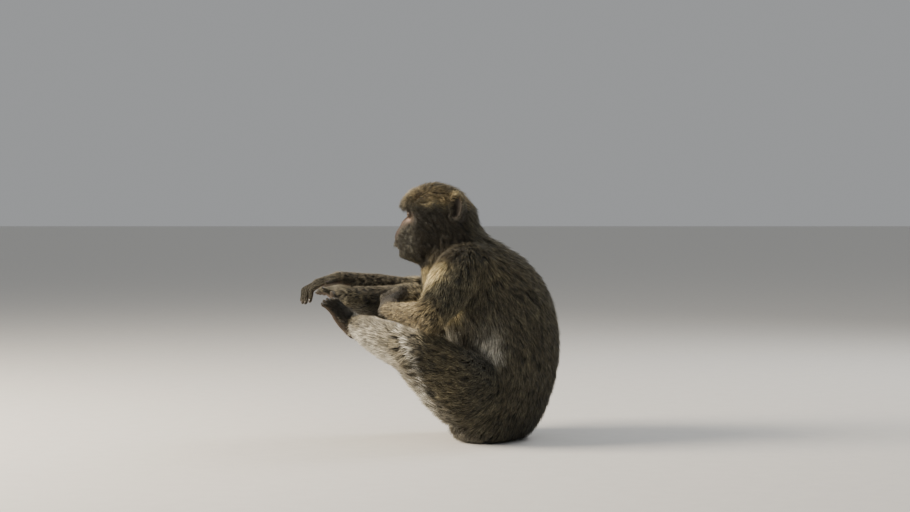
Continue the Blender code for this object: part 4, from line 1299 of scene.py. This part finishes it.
def eye_material():
    """A living eye: wet clear cornea over an amber iris with a black pupil, a dark ring at its edge, and the
    brown sclera of a macaque. The wet coat gives one small sharp highlight."""
    made, tree = new_material("wet eye")
    radial, turn = (
        add_node(tree, "Attribute", {"attribute_name": key, "out": "Fac"}) for key in ("radial", "turn")
    )
    round_it = add_node(tree, "Math", TIMES, in_0=turn, in_1=9.0)
    outwards = add_node(tree, "Math", TIMES, in_0=radial, in_1=4.0)
    spokes = add_node(tree, "CombineXYZ", X=round_it, Y=outwards)
    flat_noise = {"noise_dimensions": "2D", "out": "Fac"}
    fibre = add_node(tree, "TexNoise", flat_noise, Scale=1.0, Detail=3.0, Vector=spokes)
    inner = add_node(tree, "Math", ADD, in_0=radial, in_1=-0.12)
    inner = add_node(tree, "Math", TIMES_ADD, in_0=fibre, in_1=0.25, in_2=inner)
    iris = add_node(tree, "ValToRGB", {"stops": (
        (0.10, "#24180e"), (0.22, "#44301b"), (0.34, "#302012"), (0.45, "#1a120b"))}, Fac=inner)
    sclera = add_node(tree, "Mix", BLEND, in_0=fibre, in_6=linear("#241b15"), in_7=linear("#3f3229"))
    colour = linear("#050404")
    for start, end, tone in ((0.130, 0.155, iris), (0.335, 0.380, linear("#150e09")), (0.400, 0.470, sclera)):
        share = add_node(tree, "MapRange", in_0=radial, in_1=start, in_2=end)
        colour = add_node(tree, "Mix", BLEND, in_0=share, in_6=colour, in_7=tone)
    shader = add_node(
        tree, "BsdfPrincipled", Base_Color=colour, Roughness=0.30, Specular_IOR_Level=0.15, IOR=1.376,
        Coat_Weight=0.7, Coat_IOR=1.376, Coat_Roughness=0.03)
    add_node(tree, "OutputMaterial", {"out": None}, Surface=shader)
    return made


def nail_material():
    """Keratin nail: dark brown, smooth and a little glossy, with faint grain and paler worn spots."""
    made, tree = new_material("keratin nail")
    place = add_node(tree, "TexCoord", {"out": "Object"})
    wear = add_node(tree, "TexNoise", {"out": "Fac"}, Vector=place, Scale=300.0, Detail=3.0)
    horn = ((0.30, "#1f1a17"), (0.60, "#3b312a"), (0.80, "#5c4f43"))
    colour = add_node(tree, "ValToRGB", {"stops": horn}, Fac=wear)
    bump = add_node(tree, "Bump", Height=wear, Strength=0.25, Distance=0.0002)
    shader = add_node(tree, "BsdfPrincipled", Base_Color=colour, Roughness=0.34, Normal=bump, IOR=1.55)
    add_node(tree, "OutputMaterial", {"out": None}, Surface=shader)
    return made


def floor_material():
    """Matt painted studio floor."""
    made, tree = new_material("matt studio paint")
    place = add_node(tree, "TexCoord", {"out": "Object"})
    grain = add_node(tree, "TexNoise", {"out": "Fac"}, Vector=place, Scale=30.0, Detail=4.0)
    colour = add_node(tree, "ValToRGB", {"stops": ((0.3, "#d9d7d2"), (0.7, "#dddbd6"))}, Fac=grain)
    shader = add_node(tree, "BsdfPrincipled", Base_Color=colour, Roughness=0.85)
    add_node(tree, "OutputMaterial", {"out": None}, Surface=shader)
    return made


# ---------------------------------------------------------------- the animal
skin = make_skin()
coat = make_coat(skin)
places, facing = points_of(skin.data) - SHIFT, normals_of(skin.data)
tones = {**markings(places, facing), **face_colours(places), "bare": bare_places(places, facing)}
for key, values in tones.items():
    set_attribute(skin.data, key, values)
eyes = [make_eye("eyeball_" + letter, side) for letter, side in (("L", 1), ("R", -1))]
nails = make_nails("nails")

FUR, SKIN, EYE, NAIL = fur_material(), skin_material(), eye_material(), nail_material()
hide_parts(*[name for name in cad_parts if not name.startswith("eye_")])
skin.data.materials.append(SKIN)
for piece in coat.values():
    piece.data.materials.append(FUR)
for eye, letter in zip(eyes, "LR"):
    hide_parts("eye_" + letter)
    eye.data.materials.append(EYE)
nails.data.materials.append(NAIL)
for piece in (skin, nails, *eyes, *coat.values()):
    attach(piece, "root")

# ---------------------------------------------------------------- floor, light and camera
FLOOR_HALF = 30.0
corners = FLOOR_HALF * np.array([[-1, -1, 0], [1, -1, 0], [1, 1, 0], [-1, 1, 0]])
floor = add_object("floor", build_mesh("floor", corners, [[0, 1, 2, 3]]))
floor.data.materials.append(floor_material())


def aim(obj, place, target):
    """Puts a light or camera at a place, looking at the target."""
    way = np.asarray(target, float) - np.asarray(place, float)
    obj.location = place
    obj.rotation_euler = (math.atan2(math.hypot(way[0], way[1]), -way[2]), 0.0, math.atan2(-way[0], way[1]))


# Soft boxes: place, what they face, side of the square in metres, watts, colour.
LIGHTS = {
    "key": ((0.35, -2.6, 1.65), (0, 0, 0.25), 1.3, 240, "#fff1dc"),
    "fill": ((3.2, 0.6, 1.2), (0, 0, 0.25), 2.2, 11, "#e8eefc"),
    "rim": ((-1.6, 1.6, 2.0), (0, 0, 0.3), 1.2, 35, "#ffffff"),
}
for name, (place, target, side, watts, colour) in LIGHTS.items():
    lamp = bpy.data.lights.new(name, "AREA")
    lamp.size, lamp.energy, lamp.color = side, watts, linear(colour)[:3]
    aim(add_object(name, lamp), place, target)

world = bpy.data.worlds.new("studio")
world.use_nodes = True
world.node_tree.nodes["Background"].inputs["Color"].default_value = linear("#e6e8ea")
world.node_tree.nodes["Background"].inputs["Strength"].default_value = 0.43
bpy.context.scene.world = world

CAMERA_AT, TILT = (3.7488, 0.0465, 0.416), math.radians(1.5)
lens = bpy.data.cameras.new("camera")
lens.lens, lens.sensor_width, lens.clip_end = 85.0, 36.0, 200.0
camera = add_object("camera", lens)
aim(camera, CAMERA_AT, (CAMERA_AT[0] - math.cos(TILT), CAMERA_AT[1], CAMERA_AT[2] - math.sin(TILT)))
bpy.context.scene.camera = camera
